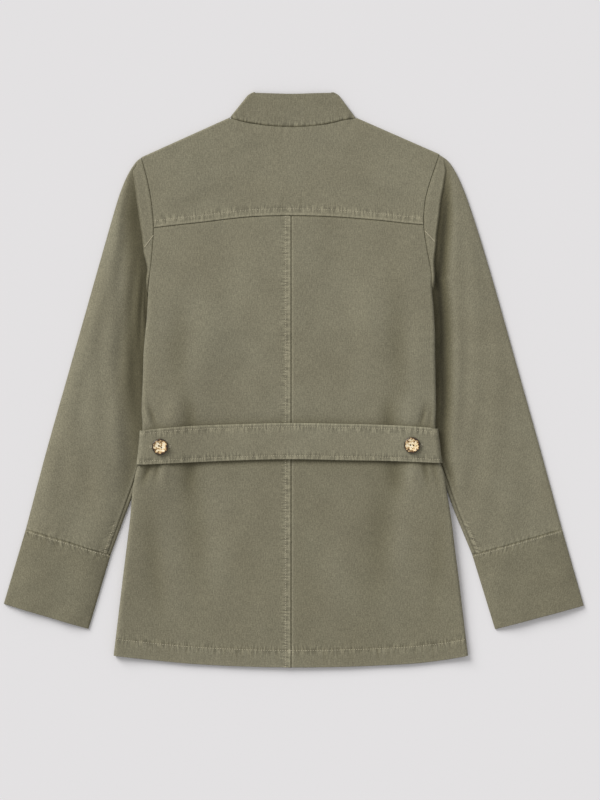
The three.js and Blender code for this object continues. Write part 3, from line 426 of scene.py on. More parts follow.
# Creases: middle, half width, half length, lean of the length in degrees, and height. The
# first eight are the solids' own and stand straight, the next eight deepen them, and the rest
# are the smaller ones.
CREASES = Table("x y across down lean height", [
    (-135, -46, 10, 26, 0, -0.9),
    (-158, -44, 9, 20, 0, 0.6),
    (-135, -126, 10, 24, 0, -0.9),
    (-165, -122, 9, 22, 0, 0.7),
    (122, -46, 10, 24, 0, -0.9),
    (150, -44, 9, 20, 0, 0.6),
    (131, -124, 11, 24, 0, -0.9),
    (156, -122, 9, 22, 0, 0.7),
    (-136, -50, 9, 22, 4, -1.1),
    (-160, -46, 10, 24, 2, 0.7),
    (-136, -122, 9, 26, -4, -1.2),
    (-168, -120, 8, 20, -6, 0.7),
    (124, -50, 10, 22, -4, -1.3),
    (151, -46, 9, 22, 0, 0.7),
    (132, -124, 12, 26, 5, -1.4),
    (155, -122, 8, 20, 4, 0.8),
    (-184, -47, 3.6, 15, 20, -2.3),
    (-191, -42, 3.4, 18, 12, 1.1),
    (-191, -120, 4.2, 13, -18, -2.6),
    (-178, -117, 3.4, 15, -6, -1.3),
    (-168, -118, 4, 16, 0, 1.0),
    (168, -47, 3.4, 14, -14, -2.0),
    (177, -48, 3.2, 13, -8, -1.3),
    (171, -118, 3.6, 15, 12, -2.0),
    (183, -120, 3.4, 16, 16, -1.3),
    (156, -118, 5, 15, 4, 0.8),
    (-148, 40, 17, 70, -3, -1.1),
    (-122, 50, 15, 60, -3, 0.7),
    (-128, -190, 15, 75, 4, -1.1),
    (-98, -210, 17, 75, 3, 0.7),
    (-182, -235, 12, 70, 6, -1.0),
    (-160, -240, 14, 60, 6, 0.6),
    (112, -195, 17, 80, -3, -1.2),
    (142, -200, 14, 70, -4, 0.7),
    (58, -250, 20, 70, -3, 0.6),
    (186, -240, 10, 60, -5, -0.8),
    (134, 50, 14, 75, 3, -1.1),
    (160, 40, 11, 60, 2, 0.6),
    (84, 90, 18, 60, 5, 0.6),
    (-66, 110, 20, 55, -4, 0.6),
    (-118, 238, 36, 9, 24, -0.7),
    (108, 246, 36, 9, -24, -0.7),
    (-60, 300, 34, 10, 20, -0.5),
    (56, 300, 34, 10, -20, -0.5),
])
SOLID_CREASES = 8

# How much a painted highlight lightens the body's side folds, most on the left, which faces the
# light, and how much paler the sleeves' outer folds are
FOLD_HIGHLIGHT = {"left": 0.1, "right": 0.03}
SLEEVE_FOLD_PALENESS = {"left": 0.07, "right": 0.13}

# Painted shade on the body's cloth from the shoulders to the hem, for the light's falloff
PAINTED_FALLOFF = Table("y tone", [
    (380, 1.0), (214, 1.0), (60, 0.98), (-60, 0.96), (-180, 0.915), (-380, 0.90),
])

# Middle of each button, and how far it is turned, in degrees
BUTTONS = Table("x y turn", [(-173.1, -86.6, -35), (153.6, -84.6, -8)])


def smooth(t):
    c = np.clip(t, 0, 1)
    return c * c * (3 - 2 * c)


def mix(a, b, t):
    return a + (b - a) * t


def bump(d, width):
    """1 on a line and falling to 0 on both sides of it."""
    return np.exp(-((d / width) ** 2))


def fade(d, reach):
    """1 on a line and falling away from it on one side."""
    return np.exp(-d / reach)


def ripple(s, wavelength, seed):
    """An uneven wave along a seam, between about -1 and 1."""
    shift = np.random.default_rng(seed).uniform(0, 2 * np.pi, 4)
    turn = 2 * np.pi / wavelength
    drift = s + 0.3 * wavelength * np.sin(turn * s / 4.3 + shift[0])
    swell = 0.6 + 0.4 * np.sin(turn * s / 6.7 + shift[1])
    return swell * np.sin(turn * drift + shift[2]) + 0.35 * np.sin(turn * s / 0.57 + shift[3])


def undulation(x, y, across, down, seed):
    """Soft uneven swells of about those sizes, between about -1 and 1."""
    rng = np.random.default_rng(seed)
    total = np.zeros(np.shape(x))
    for _ in range(7):
        wave_x = rng.normal(0, 1 / across)
        wave_y = rng.normal(0, 1 / down)
        total = total + np.sin(2 * np.pi * (wave_x * x + wave_y * y) + rng.uniform(0, 2 * np.pi))
    return total / 3.5


def spaced(length, pitch, near_start=(), near_end=()):
    """Places from 0 to length: the fine ones given near each end, and even ones between."""
    first = max(near_start, default=0)
    last = length - max(near_end, default=0)
    count = max(2, round((last - first) / pitch) + 1)
    inner = np.linspace(first, last, count)
    places = np.concatenate([[0, length], near_start, length - np.array(near_end, float), inner])
    return np.unique(np.round(places, 6))


# Heights of the layers


def side_x(side, y):
    return SIDE_FOLD.curve(side.name, y)


def side_seam_x(side, y):
    return side_x(side, y) - side.sign * RETURN.line("width", y)


def hem_y(x):
    return HEM_LINE.curve("y", x, "x")


def yoke_y(x):
    return YOKE_SEAM.curve("y", x, "x")


def neck_y(x):
    return NECK_SEAM.curve("y", x, "x")


def belt_top(x):
    return BELT_EDGES.curve("top", x, "x")


def belt_bottom(x):
    return BELT_EDGES.curve("bottom", x, "x")


def hem_curve(x, edge_x, y):
    return (hem_y(x) - hem_y(edge_x)) * smooth((HEM_CURVE_FROM - y) / HEM_CURVE_LENGTH)


def past_inner(side, x, y):
    return side.sign * (x - INNER.line(side.name, y)) + UNDER_MARGIN


def lower_lift(side, x, y):
    return SLEEVE_UNDER * smooth((past_inner(side, x, y) + UNDER_RAMP) / UNDER_RAMP)


def crease_height(x, y, count=None):
    """Height of the creases, or of the first few of them."""
    total = np.zeros(np.broadcast(x, y).shape)
    rows = list(zip(*CREASES.columns.values()))[:count]
    for at_x, at_y, across, down, lean, height in rows:
        turn = math.radians(lean)
        dx = (x - at_x) * math.cos(turn) + (y - at_y) * math.sin(turn)
        dy = (y - at_y) * math.cos(turn) - (x - at_x) * math.sin(turn)
        total = total + height * np.exp(-((dx / across) ** 2) - (dy / down) ** 2)
    return total


def rest_height(side, x, y):
    """Middle of the back's cloth, with no creases."""
    lift = LIFT.line("height", y) * smooth((past_inner(side, x, y) + BACK_RAMP) / BACK_RAMP)
    return CLOTH / 2 + LOFT + lift


def back_height(side, x, y):
    """Middle of the back's cloth with its creases and soft swells."""
    belt = smooth((np.abs(y - BELT_Y) - 20) / 40)
    edge = smooth(side.sign * (side_x(side, np.minimum(y, SIDE_FOLD_TOP)) - x) / 25)
    neck = smooth((330 - y) / 60)
    swell = 0.45 * undulation(x, y, 130, 260, 11) * belt * edge * neck
    return rest_height(side, x, y) + crease_height(x, y) + swell


def rounded(t):
    """Rises steeply from 0 and levels out at 1."""
    return 1 - (1 - np.clip(t, 0, 1)) ** 2


def lower_of(a, b, blend=0.5):
    """The lower of two heights, with their meeting rounded."""
    return -blend * np.log(np.exp(-a / blend) + np.exp(-b / blend))


def beside_body(side, x, y):
    """How far a place on the sleeve is out from the fold of the body or of the sleeve's head."""
    fold = np.where(y > HEAD_FOLD_END, HEAD_FOLD.curve(side.name, y), side_x(side, y))
    return side.sign * (x - fold)


def hollow(side, column, y):
    return HOLLOW.line(f"{side.name}_{column}", np.clip(y, -230, 286))


def sleeve_height(side, x, y, s, width):
    """Middle of the sleeve's upper layer, s from its outer fold, in a row of that width."""
    low = TROUGH.line("height", y)
    out = beside_body(side, x, y) - hollow(side, "start", y)
    beside = mix(low, SLEEVE_FULL, smooth(out / hollow(side, "reach", y)))
    outer = mix(SLEEVE_EDGE, SLEEVE_FULL, rounded(s / SLEEVE_ROUND))
    inner = mix(SLEEVE_LOW, SLEEVE_FULL, rounded((width - s) / SLEEVE_ROUND))
    return np.maximum(SLEEVE_LOW, lower_of(lower_of(beside, outer), inner))


def painted_hollow_shade(side, x, y):
    """Painted shade on the sleeve in the hollow beside the body."""
    out = beside_body(side, x, y)
    rise = smooth((out - hollow(side, "start", y)) / (0.8 * hollow(side, "reach", y)))
    by_fold = HOLLOW_BY_FOLD[side.name]
    return 1 - hollow(side, "shade", y) * (1 - rise) * mix(by_fold, 1, smooth(out / 10))


def round_fold(upper, lower, count):
    """Steps round a fold from the upper layer to the lower one: inset from the edge, and height."""
    angles = np.radians(np.linspace(90, -90, count))
    radius = (upper - lower) / 2
    inset = radius[..., None] * (1 - np.cos(angles))
    height = lower[..., None] + radius[..., None] * (1 + np.sin(angles))
    return inset, height


# Shells


def linked(name, mesh):
    """A new object in the scene with that mesh."""
    made = bpy.data.objects.new(name, mesh)
    bpy.context.collection.objects.link(made)
    return made


def bake(piece):
    """Gives a piece the mesh that its modifiers make, and takes them off."""
    bpy.context.view_layer.update()
    graph = bpy.context.evaluated_depsgraph_get()
    made = bpy.data.meshes.new_from_object(piece.evaluated_get(graph))
    piece.modifiers.clear()
    piece.data = made
    return made


def on_body(piece, node=None):
    """Rides a piece on the jacket's one body, in place of its solid where it has one."""
    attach(piece, "root")
    if node:
        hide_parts(node)


def linear(hex_colour):
    """An sRGB hex colour in linear light, with alpha."""
    channels = [int(hex_colour[i:i + 2], 16) / 255 for i in (1, 3, 5)]
    return [c / 12.92 if c <= 0.04045 else ((c + 0.055) / 1.055) ** 2.4 for c in channels] + [1.0]


def grain(points, lean):
    """Place of each point across and along the grain of the cloth, in metres."""
    c, s = math.cos(math.radians(lean)), math.sin(math.radians(lean))
    x, y = points[..., 0], points[..., 1]
    return np.stack([x * c + y * s, y * c - x * s], axis=-1) * MM


def pulled(points, lines):
    """How far stitching draws up the cloth: 1 beside a seam across it, -1 beside one down it."""
    places = points[..., :2].reshape(-1, 2)
    drawn = np.zeros(len(places))
    for line in lines:
        step = np.diff(line[:, :2], axis=0)
        middle = line[:-1, :2] + step / 2
        apart = (places[:, None, 0] - middle[:, 0]) ** 2 + (places[:, None, 1] - middle[:, 1]) ** 2
        nearest = np.argmin(apart, axis=1)
        away = np.sqrt(apart[np.arange(len(places)), nearest])
        way = step[nearest] / np.linalg.norm(step[nearest], axis=1, keepdims=True)
        off = places - middle[nearest]
        beside = np.abs(off[:, 0] * way[:, 1] - off[:, 1] * way[:, 0])
        pull = bump(beside, PULL_REACH) * (away < beside + 6)
        across = np.abs(way[:, 0]) > np.abs(way[:, 1])
        drawn = np.where(pull > np.abs(drawn), np.where(across, pull, -pull), drawn)
    return drawn.reshape(points.shape[:2])


def wall_normals(points, keep, closed):
    """Unit normals at the points of a grid's kept cells, and which points those are."""
    ahead = np.roll(points, -1, axis=1) if closed else points[:, 1:]
    behind = points if closed else points[:, :-1]
    a, b, c, d = behind[:-1], ahead[:-1], ahead[1:], behind[1:]
    cells = np.cross(c - a, d - b)
    cells /= np.maximum(np.linalg.norm(cells, axis=2, keepdims=True), 1e-12)
    cells *= keep[..., None]
    normals = np.zeros_like(points)
    used = np.zeros(points.shape[:2], bool)
    columns = np.arange(cells.shape[1])
    following = (columns + 1) % points.shape[1]
    for rows in (slice(0, -1), slice(1, None)):
        for at in (columns, following):
            normals[rows, at] += cells
            used[rows, at] |= keep
    length = np.linalg.norm(normals, axis=2, keepdims=True)
    normals = np.where(length > 1e-9, normals / np.maximum(length, 1e-12), (0, 0, 1))
    return normals, used


def shell(name, points, thickness, tone=1.0, closed=False, keep=None, lean=0, sewn=()):
    """A closed wall of cloth about a grid of middle points, with its grain, tone and pull."""
    rows, columns = points.shape[:2]
    cells = (rows - 1, columns if closed else columns - 1)
    keep = np.ones(cells, bool) if keep is None else keep
    normals, used = wall_normals(points, keep, closed)
    offset = normals * thickness / 2
    ids = np.cumsum(used.ravel()).reshape(used.shape) - 1
    count = int(used.sum())
    top, under = ids, ids + count
    i, j = np.nonzero(keep)
    k = (j + 1) % columns
    padded = np.pad(keep, 1)
    if closed:
        padded[1:-1, 0] = keep[:, -1]
        padded[1:-1, -1] = keep[:, 0]
    free = {
        "up": ~padded[i, j + 1],
        "down": ~padded[i + 2, j + 1],
        "back": ~padded[i + 1, j],
        "on": ~padded[i + 1, j + 2],
    }
    quads = [
        np.stack([top[i, j], top[i, k], top[i + 1, k], top[i + 1, j]], 1),
        np.stack([under[i, j], under[i + 1, j], under[i + 1, k], under[i, k]], 1),
        np.stack([top[i, k], top[i, j], under[i, j], under[i, k]], 1)[free["up"]],
        np.stack([top[i + 1, j], top[i + 1, k], under[i + 1, k], under[i + 1, j]], 1)[free["down"]],
        np.stack([top[i, j], top[i + 1, j], under[i + 1, j], under[i, j]], 1)[free["back"]],
        np.stack([top[i + 1, k], top[i, k], under[i, k], under[i + 1, k]], 1)[free["on"]],
    ]
    faces = np.concatenate(quads)
    vertices = np.concatenate([(points + offset)[used], (points - offset)[used]]) * MM
    corners = vertices[faces]
    volume = np.einsum("ij,ij->", corners[:, 0], np.cross(corners[:, 1], corners[:, 2]))
    volume += np.einsum("ij,ij->", corners[:, 0], np.cross(corners[:, 2], corners[:, 3]))
    if volume < 0:
        faces = faces[:, ::-1]
    mesh = bpy.data.meshes.new(name)
    mesh.from_pydata(vertices.tolist(), [], faces.tolist())
    mesh.polygons.foreach_set("use_smooth", np.ones(len(faces), bool))
    tones = np.broadcast_to(np.asarray(tone, float), used.shape)[used]
    mesh.attributes.new("tone", "FLOAT", "POINT").data.foreach_set("value", np.tile(tones, 2))
    pull = pulled(points, sewn)[used]
    mesh.attributes.new("pull", "FLOAT", "POINT").data.foreach_set("value", np.tile(pull, 2))
    places = np.tile(grain(points, lean)[used], (2, 1))
    loops = np.empty(len(mesh.loops), np.int32)
    mesh.loops.foreach_get("vertex_index", loops)
    mesh.uv_layers.new(name="grain").data.foreach_set("uv", places[loops].ravel())
    mesh.update()
    piece = linked(name, mesh)
    mesh.materials.append(shared_canvas())
    return piece


def declare(piece, node):
    """Puts a cloth piece in place of its solid."""
    on_body(piece, node)


# The back, yoke and collar


def seam_shade_and_ridge(d, depth=0.3, ridge=0.1):
    """Painted shade in a seam, and a lighter ridge beside it, partly rubbed and partly painted
    highlight.
    """
    return -depth * bump(d, 1.1) + ridge * bump(d - 2.7, 1.2)


def painted_body_shade(x, y):
    """Tone of the body's cloth: painted shade that deepens towards the hem and in the creases, with
    a painted highlight on the creases' ridges.
    """
    fall = PAINTED_FALLOFF.line("tone", y)
    return fall + 0.11 * np.clip(crease_height(x, y), -2.8, 0.9)


def back_surface(side, x, y):
    """Height and tone of the back, with its seams, hem and puckers. The tone holds painted shade in
    the seams and by the belt, and painted highlights on the folds, ridges and puckers.
    """
    centre = np.abs(x - CENTRE)
    yoke = yoke_y(x) - y
    hem = y - hem_y(x)
    height = back_height(side, x, y)
    tone = painted_body_shade(x, y) * (1.0 if side is LEFT else 0.98)
    from_fold = side.sign * (side_x(side, y) - x)
    # Painted highlight along the side fold, most on the left, which faces the light
    tone += FOLD_HIGHLIGHT[side.name] * bump(from_fold - 3, 4) * smooth((ARMHOLE_END - y) / 20)
    ladder = ripple(y, 6.5, 3) * (0.7 + 0.3 * ripple(y, 31, 4))
    if side is LEFT:
        felled = 1 - smooth((centre - CENTRE_STITCH) / 2.2)
        height += 0.5 * felled + 0.25 * felled * ladder
        height -= 0.4 * bump(centre - CENTRE_STITCH, 1.1)
        # Painted highlights on the felled seam's ridge and puckers
        tone += 0.03 * felled + 0.07 * ladder * bump(centre - CENTRE_STITCH, 3.4)
        tone += 0.05 * bump(centre - CENTRE_STITCH - 1, 1.2) + 0.42 * bump(centre - 2.4, 0.9)
    else:
        # Painted highlight on the ridge beside the centre seam
        tone += 0.24 * bump(centre - 1.9, 1.0) + 0.02 * ladder * bump(centre - 3, 3)
    height -= 0.6 * fade(centre, 0.9) + 0.6 * fade(np.maximum(yoke, 0), 0.9)
    # Painted shade in the centre seam and the yoke seam
    tone -= 0.34 * bump(centre, 1.0) + 0.3 * bump(yoke, 1.1)
    turned = 1 - smooth((hem - HEM) / 2)
    pucker = ripple(x, 9, 5 + side.sign) * (0.7 + 0.3 * ripple(x, 37, 8))
    height += turned * 0.4 - 0.4 * bump(hem - HEM, 1.2)
    height += 0.32 * pucker * fade(np.abs(hem - HEM + 4), 9)
    # Painted shade along the hem's fold, and painted light and shade on its puckers
    tone += 0.035 * turned - 0.1 * bump(hem - HEM - 0.6, 1.1)
    tone += 0.11 * pucker * bump(hem - HEM + 5, 8)
    tone += 0.06 * bump(hem - 1.4, 1.4) + 0.04 * pucker * bump(hem, 9)
    above = y - belt_top(x)
    below = belt_bottom(x) - y
    over, under = np.maximum(above, 0), np.maximum(below, 0)
    height -= 0.9 * bump(over, 9) * (above > -5) + 0.9 * bump(under, 9) * (below > -5)
    # Painted shade above the belt, and a painted shadow below it
    tone -= 0.2 * fade(over, 4.5) * (above > -8)
    tone -= (0.34 * fade(under, 2.8) + 0.12 * fade(under, 11)) * (below > -8)
    return height, tone


def back_grid(side):
    """Middle points of one back panel: upper layer, side fold and return to the side seam."""
    end_x = side_x(side, HEM_EDGE_Y)
    above = np.linspace(YOKE_EDGE[side.name], ARMHOLE_END, 34)
    below = ARMHOLE_END - spaced(ARMHOLE_END - hem_y(end_x), 2.35, (), (0.6, 1.4))[1:]
    edge_y = np.concatenate([above, below])
    on_armhole = edge_y > ARMHOLE_END
    edge_x = np.where(on_armhole, ARMHOLE[side.name].curve("x", edge_y), side_x(side, edge_y))
    seam_at_edge = yoke_y(edge_x[0])

    def line_y(x, row_y, row_x):
        share = np.clip(SEAM_SLOPE.line("share", row_y), 0, 1)
        return row_y + (yoke_y(x) - seam_at_edge) * share + hem_curve(x, row_x, row_y)

    upper = rest_height(side, edge_x, edge_y)
    turning = smooth((ARMHOLE_END + TURN_START - edge_y) / TURN_START)
    lower = mix(upper - 0.3, CLOTH / 2 + lower_lift(side, edge_x, edge_y), turning)
    inset = np.maximum(SEAM / 2, (upper - lower) / 2 + CLOTH / 2 * turning)
    start = CENTRE + side.sign * SEAM / 2
    end = edge_x - side.sign * inset
    by_centre = (0.5, 1.1, 1.9, 2.8, 4.2, 5.8, 6.6, 7.2, 7.8, 8.8)
    shares = spaced(BACK_WIDTH, 2.35, by_centre, (1.0,)) / BACK_WIDTH
    x = start + (end - start)[:, None] * shares
    y = line_y(x, edge_y[:, None], edge_x[:, None])
    y[0] -= SEAM / 2
    z, tone = back_surface(side, x, y)
    upper = z[:, -1]
    turn_inset, turn_z = round_fold(upper, lower, 9)
    turn_edge = edge_x - side.sign * mix(SEAM / 2, CLOTH / 2, turning)
    turn_x = turn_edge[:, None] - side.sign * turn_inset[:, 1:]
    weight = np.clip(RETURN_DROP.line("share", edge_y), 0, 1)[:, None]
    turn_y = line_y(edge_x, edge_y, edge_x)[:, None] - weight * np.linspace(1, 7, 8)
    back_shares = np.linspace(0.12, 1, 9)
    drop = RETURN_COLUMNS.line("drop", back_shares, "share")
    return_y = line_y(edge_x, edge_y, edge_x)[:, None] - weight * drop
    seam_x = side_seam_x(side, return_y) + side.sign * SEAM / 2
    return_x = mix(turn_x[:, -1:], seam_x, back_shares)
    return_z = CLOTH / 2 + lower_lift(side, return_x, return_y)
    points = np.stack([
        np.concatenate([x, turn_x, return_x], 1),
        np.concatenate([y, turn_y, return_y], 1),
        np.concatenate([z, turn_z[:, 1:], return_z], 1),
    ], 2)
    edge_tone = np.ones((len(edge_y), points.shape[1] - x.shape[1]))
    keep = np.ones((points.shape[0] - 1, points.shape[1] - 1), bool)
    turn_end = len(shares) + turn_x.shape[1] - 1
    keep[:len(above) - 1, turn_end:] = False
    keep[:int(np.sum(edge_y > ARMHOLE_END + TURN_START)), len(shares) - 1:] = False
    return points, np.concatenate([tone, edge_tone], 1), keep


def shoulder_inward(side):
    along = (side.tip - side.neck) / np.linalg.norm(side.tip - side.neck)
    return side.sign * np.array([along[1], -along[0]])


def yoke_surface(side, x, y):
    """Height and tone of the yoke, with its topstitched lower edge. The tone holds painted shade in
    the seams and tucks, and painted highlights on the seam's ridge and the puckers.
    """
    seam = y - yoke_y(x)
    neck = np.where(np.abs(x - CENTRE) < 80, neck_y(x) - y, 99)
    band = 1 - smooth((seam - YOKE_STITCH) / 2.2)
    pucker = ripple(x, 8.0, 21) * (0.7 + 0.3 * ripple(x, 41, 22))
    near = np.maximum(0, seam - YOKE_STITCH)
    reach = np.exp(-(near / (6.5 + 3.5 * ripple(x, 29, 23))) ** 2) * smooth(seam / 3)
    long_tucks = bump(x + 14, 1.5) + bump(x - 9.4, 1.3)
    long_tucks = long_tucks * smooth((26 - near) / 18) * smooth(seam / 4)
    height = back_height(side, x, y) + 0.55 * band - 0.4 * bump(seam - YOKE_STITCH, 1.1)
    height += 0.36 * pucker * reach - 0.45 * fade(seam, 0.7) - 0.5 * long_tucks
    gather = ripple(x, 14, 24)
    height += 0.35 * bump(neck - 7, 6) * gather - 0.6 * fade(np.maximum(neck, 0), 1.3)
    # Painted shade in the seams and tucks, painted highlights on the seam's ridge and the puckers
    tone = painted_body_shade(x, y) + 0.045 * band + 0.075 * pucker * reach
    tone -= 0.03 * bump(seam - YOKE_STITCH - 1, 1.1) + 0.13 * long_tucks
    tone += 0.3 * bump(seam - 1.9, 1.1) - 0.22 * bump(neck, 1.1) + 0.03 * gather * bump(neck, 8)
    return height, tone


def yoke_columns(side, shares, rise, turn):
    """Middle points of half the yoke by columns, from its seam up and round the shoulder."""
    armhole = ARMHOLE[side.name]
    neck_share = (side.neck[0] - CENTRE) / (side.tip[0] - CENTRE)
    seam_corner = armhole.spot(YOKE_EDGE_SHARE)
    inward = shoulder_inward(side)
    inset = (rest_height(side, *side.tip) - CLOTH / 2) / 2
    bottom_x = mix(CENTRE, seam_corner[0], shares)
    bottom = np.stack([bottom_x, yoke_y(bottom_x) + SEAM / 2], 1)
    neck_x = mix(CENTRE, side.neck[0], shares / neck_share)
    neck_edge = np.stack([neck_x, neck_y(neck_x) - SEAM / 2], 1)
    along = np.clip((shares - neck_share) / (1 - neck_share), 0, 1)[:, None]
    shoulder_edge = mix(side.neck, side.tip, along)
    is_neck = (shares < neck_share - 1e-6)[:, None]
    into = np.where(along > 1e-6, inward, np.array([0.0, -1.0]))
    edge = np.where(is_neck, neck_edge, shoulder_edge)
    top = np.where(is_neck, edge, edge + into * inset)
    end_top = side.tip + inward * inset
    at = mix(bottom[:, None], top[:, None], rise[None, :, None])
    target = armhole.spot(YOKE_EDGE_SHARE * (1 - rise))
    target = mix(target, end_top, smooth((rise - 0.8) / 0.2)[:, None])
    target[:, 0] -= side.sign * (SEAM / 2 + 0.1)
    straight = mix(seam_corner, end_top, rise[:, None])
    at += (target - straight)[None] * (shares**3)[:, None, None]
    z, tone = yoke_surface(side, at[..., 0], at[..., 1])
    upper = z[:, -1]
    turn_inset, turn_z = round_fold(upper, np.full(len(upper), CLOTH / 2), turn)
    turned = edge[:, None] + into[:, None] * turn_inset[:, 1:, None]
    under = edge[:, None] + into[:, None] * np.array([4.5, SHOULDER_RETURN])[None, :, None]
    under_z = np.full((len(shares), 2), CLOTH / 2)
    places = np.concatenate([at, turned, under], 1)
    heights = np.concatenate([z, turn_z[:, 1:], under_z], 1)
    tones = np.concatenate([tone, np.ones((len(shares), turn + 1))], 1)
    return np.concatenate([places, heights[..., None]], 2), tones


def yoke_grid():
    """Middle points of the whole yoke, with the neck left open."""
    by_seam = (0.5, 1.2, 2.0, 3.2, 5.0, 7.0, 7.8, 8.6, 9.4, 11)
    rise = spaced(YOKE_DEPTH, 2.2, by_seam, (0.5, 1.2)) / YOKE_DEPTH
    turn = 7
    halves = []
    necks = []
    for side in (LEFT, RIGHT):
        neck_share = (side.neck[0] - CENTRE) / (side.tip[0] - CENTRE)
        inner = np.linspace(0, neck_share, 36)
        along = spaced(SHOULDER_LENGTH, 2.3, (), (0.5, 1.2))[1:] / SHOULDER_LENGTH
        outer = mix(neck_share, 1, along)
        halves.append(yoke_columns(side, np.concatenate([inner, outer]), rise, turn))
        necks.append(len(inner) - 1)
    left, right = halves
    points = np.concatenate([left[0][::-1], right[0][1:]]).transpose(1, 0, 2)
    tone = np.concatenate([left[1][::-1], right[1][1:]]).T
    keep = np.ones((points.shape[0] - 1, points.shape[1] - 1), bool)
    middle = left[0].shape[0] - 1
    keep[len(rise) - 1:, middle - necks[0]:middle + necks[1]] = False
    return points, tone, keep


def joined(halves):
    """A whole grid from its left and right halves, which both start at the centre."""
    left, right = halves
    return np.concatenate([left[:, ::-1], right[:, 1:]], 1)


def collar_grid(wall):
    """Middle points of the stand collar: its back on top, both folds and the arms below."""
    lower = wall / 2
    upper = CLOTH / 2 + LOFT + COLLAR_OVER
    rows = spaced(COLLAR_DEPTH, 1.7, (0.5, 1.2), (0.5, 1.2)) / COLLAR_DEPTH
    halves = []
    tones = []
    for side in (LEFT, RIGHT):
        end_x = COLLAR_TOP.columns["x"][0 if side is LEFT else -1]
        end = np.array([end_x, COLLAR_TOP.columns["y"][0]])
        start = side.neck + np.array([-side.sign * COLLAR_CORNER[0], COLLAR_CORNER[1]])
        fold = start + (end - start) * rows[:, None]
        along = (end - start) / np.linalg.norm(end - start)
        level = smooth((rows - 0.86) / 0.14)[:, None]
        into = mix(side.sign * np.array([-along[1], along[0]]), np.array([-side.sign, 0.0]), level)
        into = into / np.linalg.norm(into, axis=1, keepdims=True)
        from_top = (1 - rows) * np.linalg.norm(end - start)
        rounding = COLLAR_ROUND * np.clip(1 - from_top / (1.2 * COLLAR_ROUND), 0, 1) ** 2
        fold[:, 0] -= side.sign * rounding
        turned = fold + into * ((upper - lower) / 2 + wall / 2)
        shares = np.linspace(0, 1, 36)
        neck_x = mix(CENTRE, side.neck[0], shares)
        top_x = mix(CENTRE, end[0], shares)
        top_y = COLLAR_TOP.curve("y", top_x, "x")
        x = mix(neck_x, top_x, rows[:, None])
        y = mix(neck_y(neck_x) + SEAM / 2, top_y, rows[:, None])
        by_fold = smooth((shares - 0.9) / 0.1)
        x = mix(x, turned[:, :1] + (x - x[:, -1:]), by_fold)
        y = mix(y, turned[:, 1:] + (y - y[:, -1:]), by_fold)
        from_neck = rows[:, None] * COLLAR_DEPTH
        z = np.full(x.shape, upper) - 0.5 * fade(from_neck, 1.0)
        z += 0.3 * ripple(x, 11, 31) * bump(from_neck - 6, 5) + 0.45 * undulation(x, y, 60, 50, 32)
        z -= 0.5 * smooth((from_neck - 30) / 12)
        # Painted shade in the neck seam, and painted highlights on its ridge and the puckers
        tone = 0.93 - 0.42 * bump(from_neck, 1.1) + 0.07 * bump(from_neck - 3, 1.5)
        tone = tone + 0.05 * bump(from_neck - COLLAR_DEPTH + 1, 1.4)
        tone = tone - 0.03 * smooth((from_neck - 10) / 30)
        tone = tone + 0.03 * ripple(x, 8, 33) * bump(from_neck - 4, 9) + 0.03 * ripple(x, 5.5, 34)
        steps, step_z = round_fold(np.array(z[:, -1]), np.full(len(rows), lower), 9)
        fold_points = fold[:, None] + into[:, None] * (steps[:, 1:, None] + wall / 2)
        angles = np.radians(np.concatenate([np.linspace(24, 86, 22), [90]]))
        arm_x = side.sign * np.cos(angles)
        seam_x = CENTRE + abs(side.neck[0] - CENTRE) * arm_x
        seam_y = side.neck[1] - FRONT_NECK_DEPTH * np.sin(angles)
        free_x = CENTRE + abs(end[0] - CENTRE) * arm_x
        free_y = end[1] - STAND_DEPTH * np.sin(angles)
        arms_x = mix(seam_x, free_x, rows[:, None])
        arms_x -= rounding[:, None] * arm_x
        arms_x[:, -1] += side.sign * COLLAR_ARM_GAP
        arms_y = mix(seam_y, free_y, rows[:, None])
        top = np.stack([x, y, z], 2)
        turn = np.concatenate([fold_points, step_z[:, 1:, None]], 2)
        arms = np.stack([arms_x, arms_y, np.full(arms_x.shape, lower)], 2)
        halves.append(np.concatenate([top, turn, arms], 1))
        tones.append(np.pad(tone, ((0, 0), (0, turn.shape[1] + arms.shape[1])), constant_values=1))
    return joined(halves), joined(tones)


# The fronts, hidden below the back


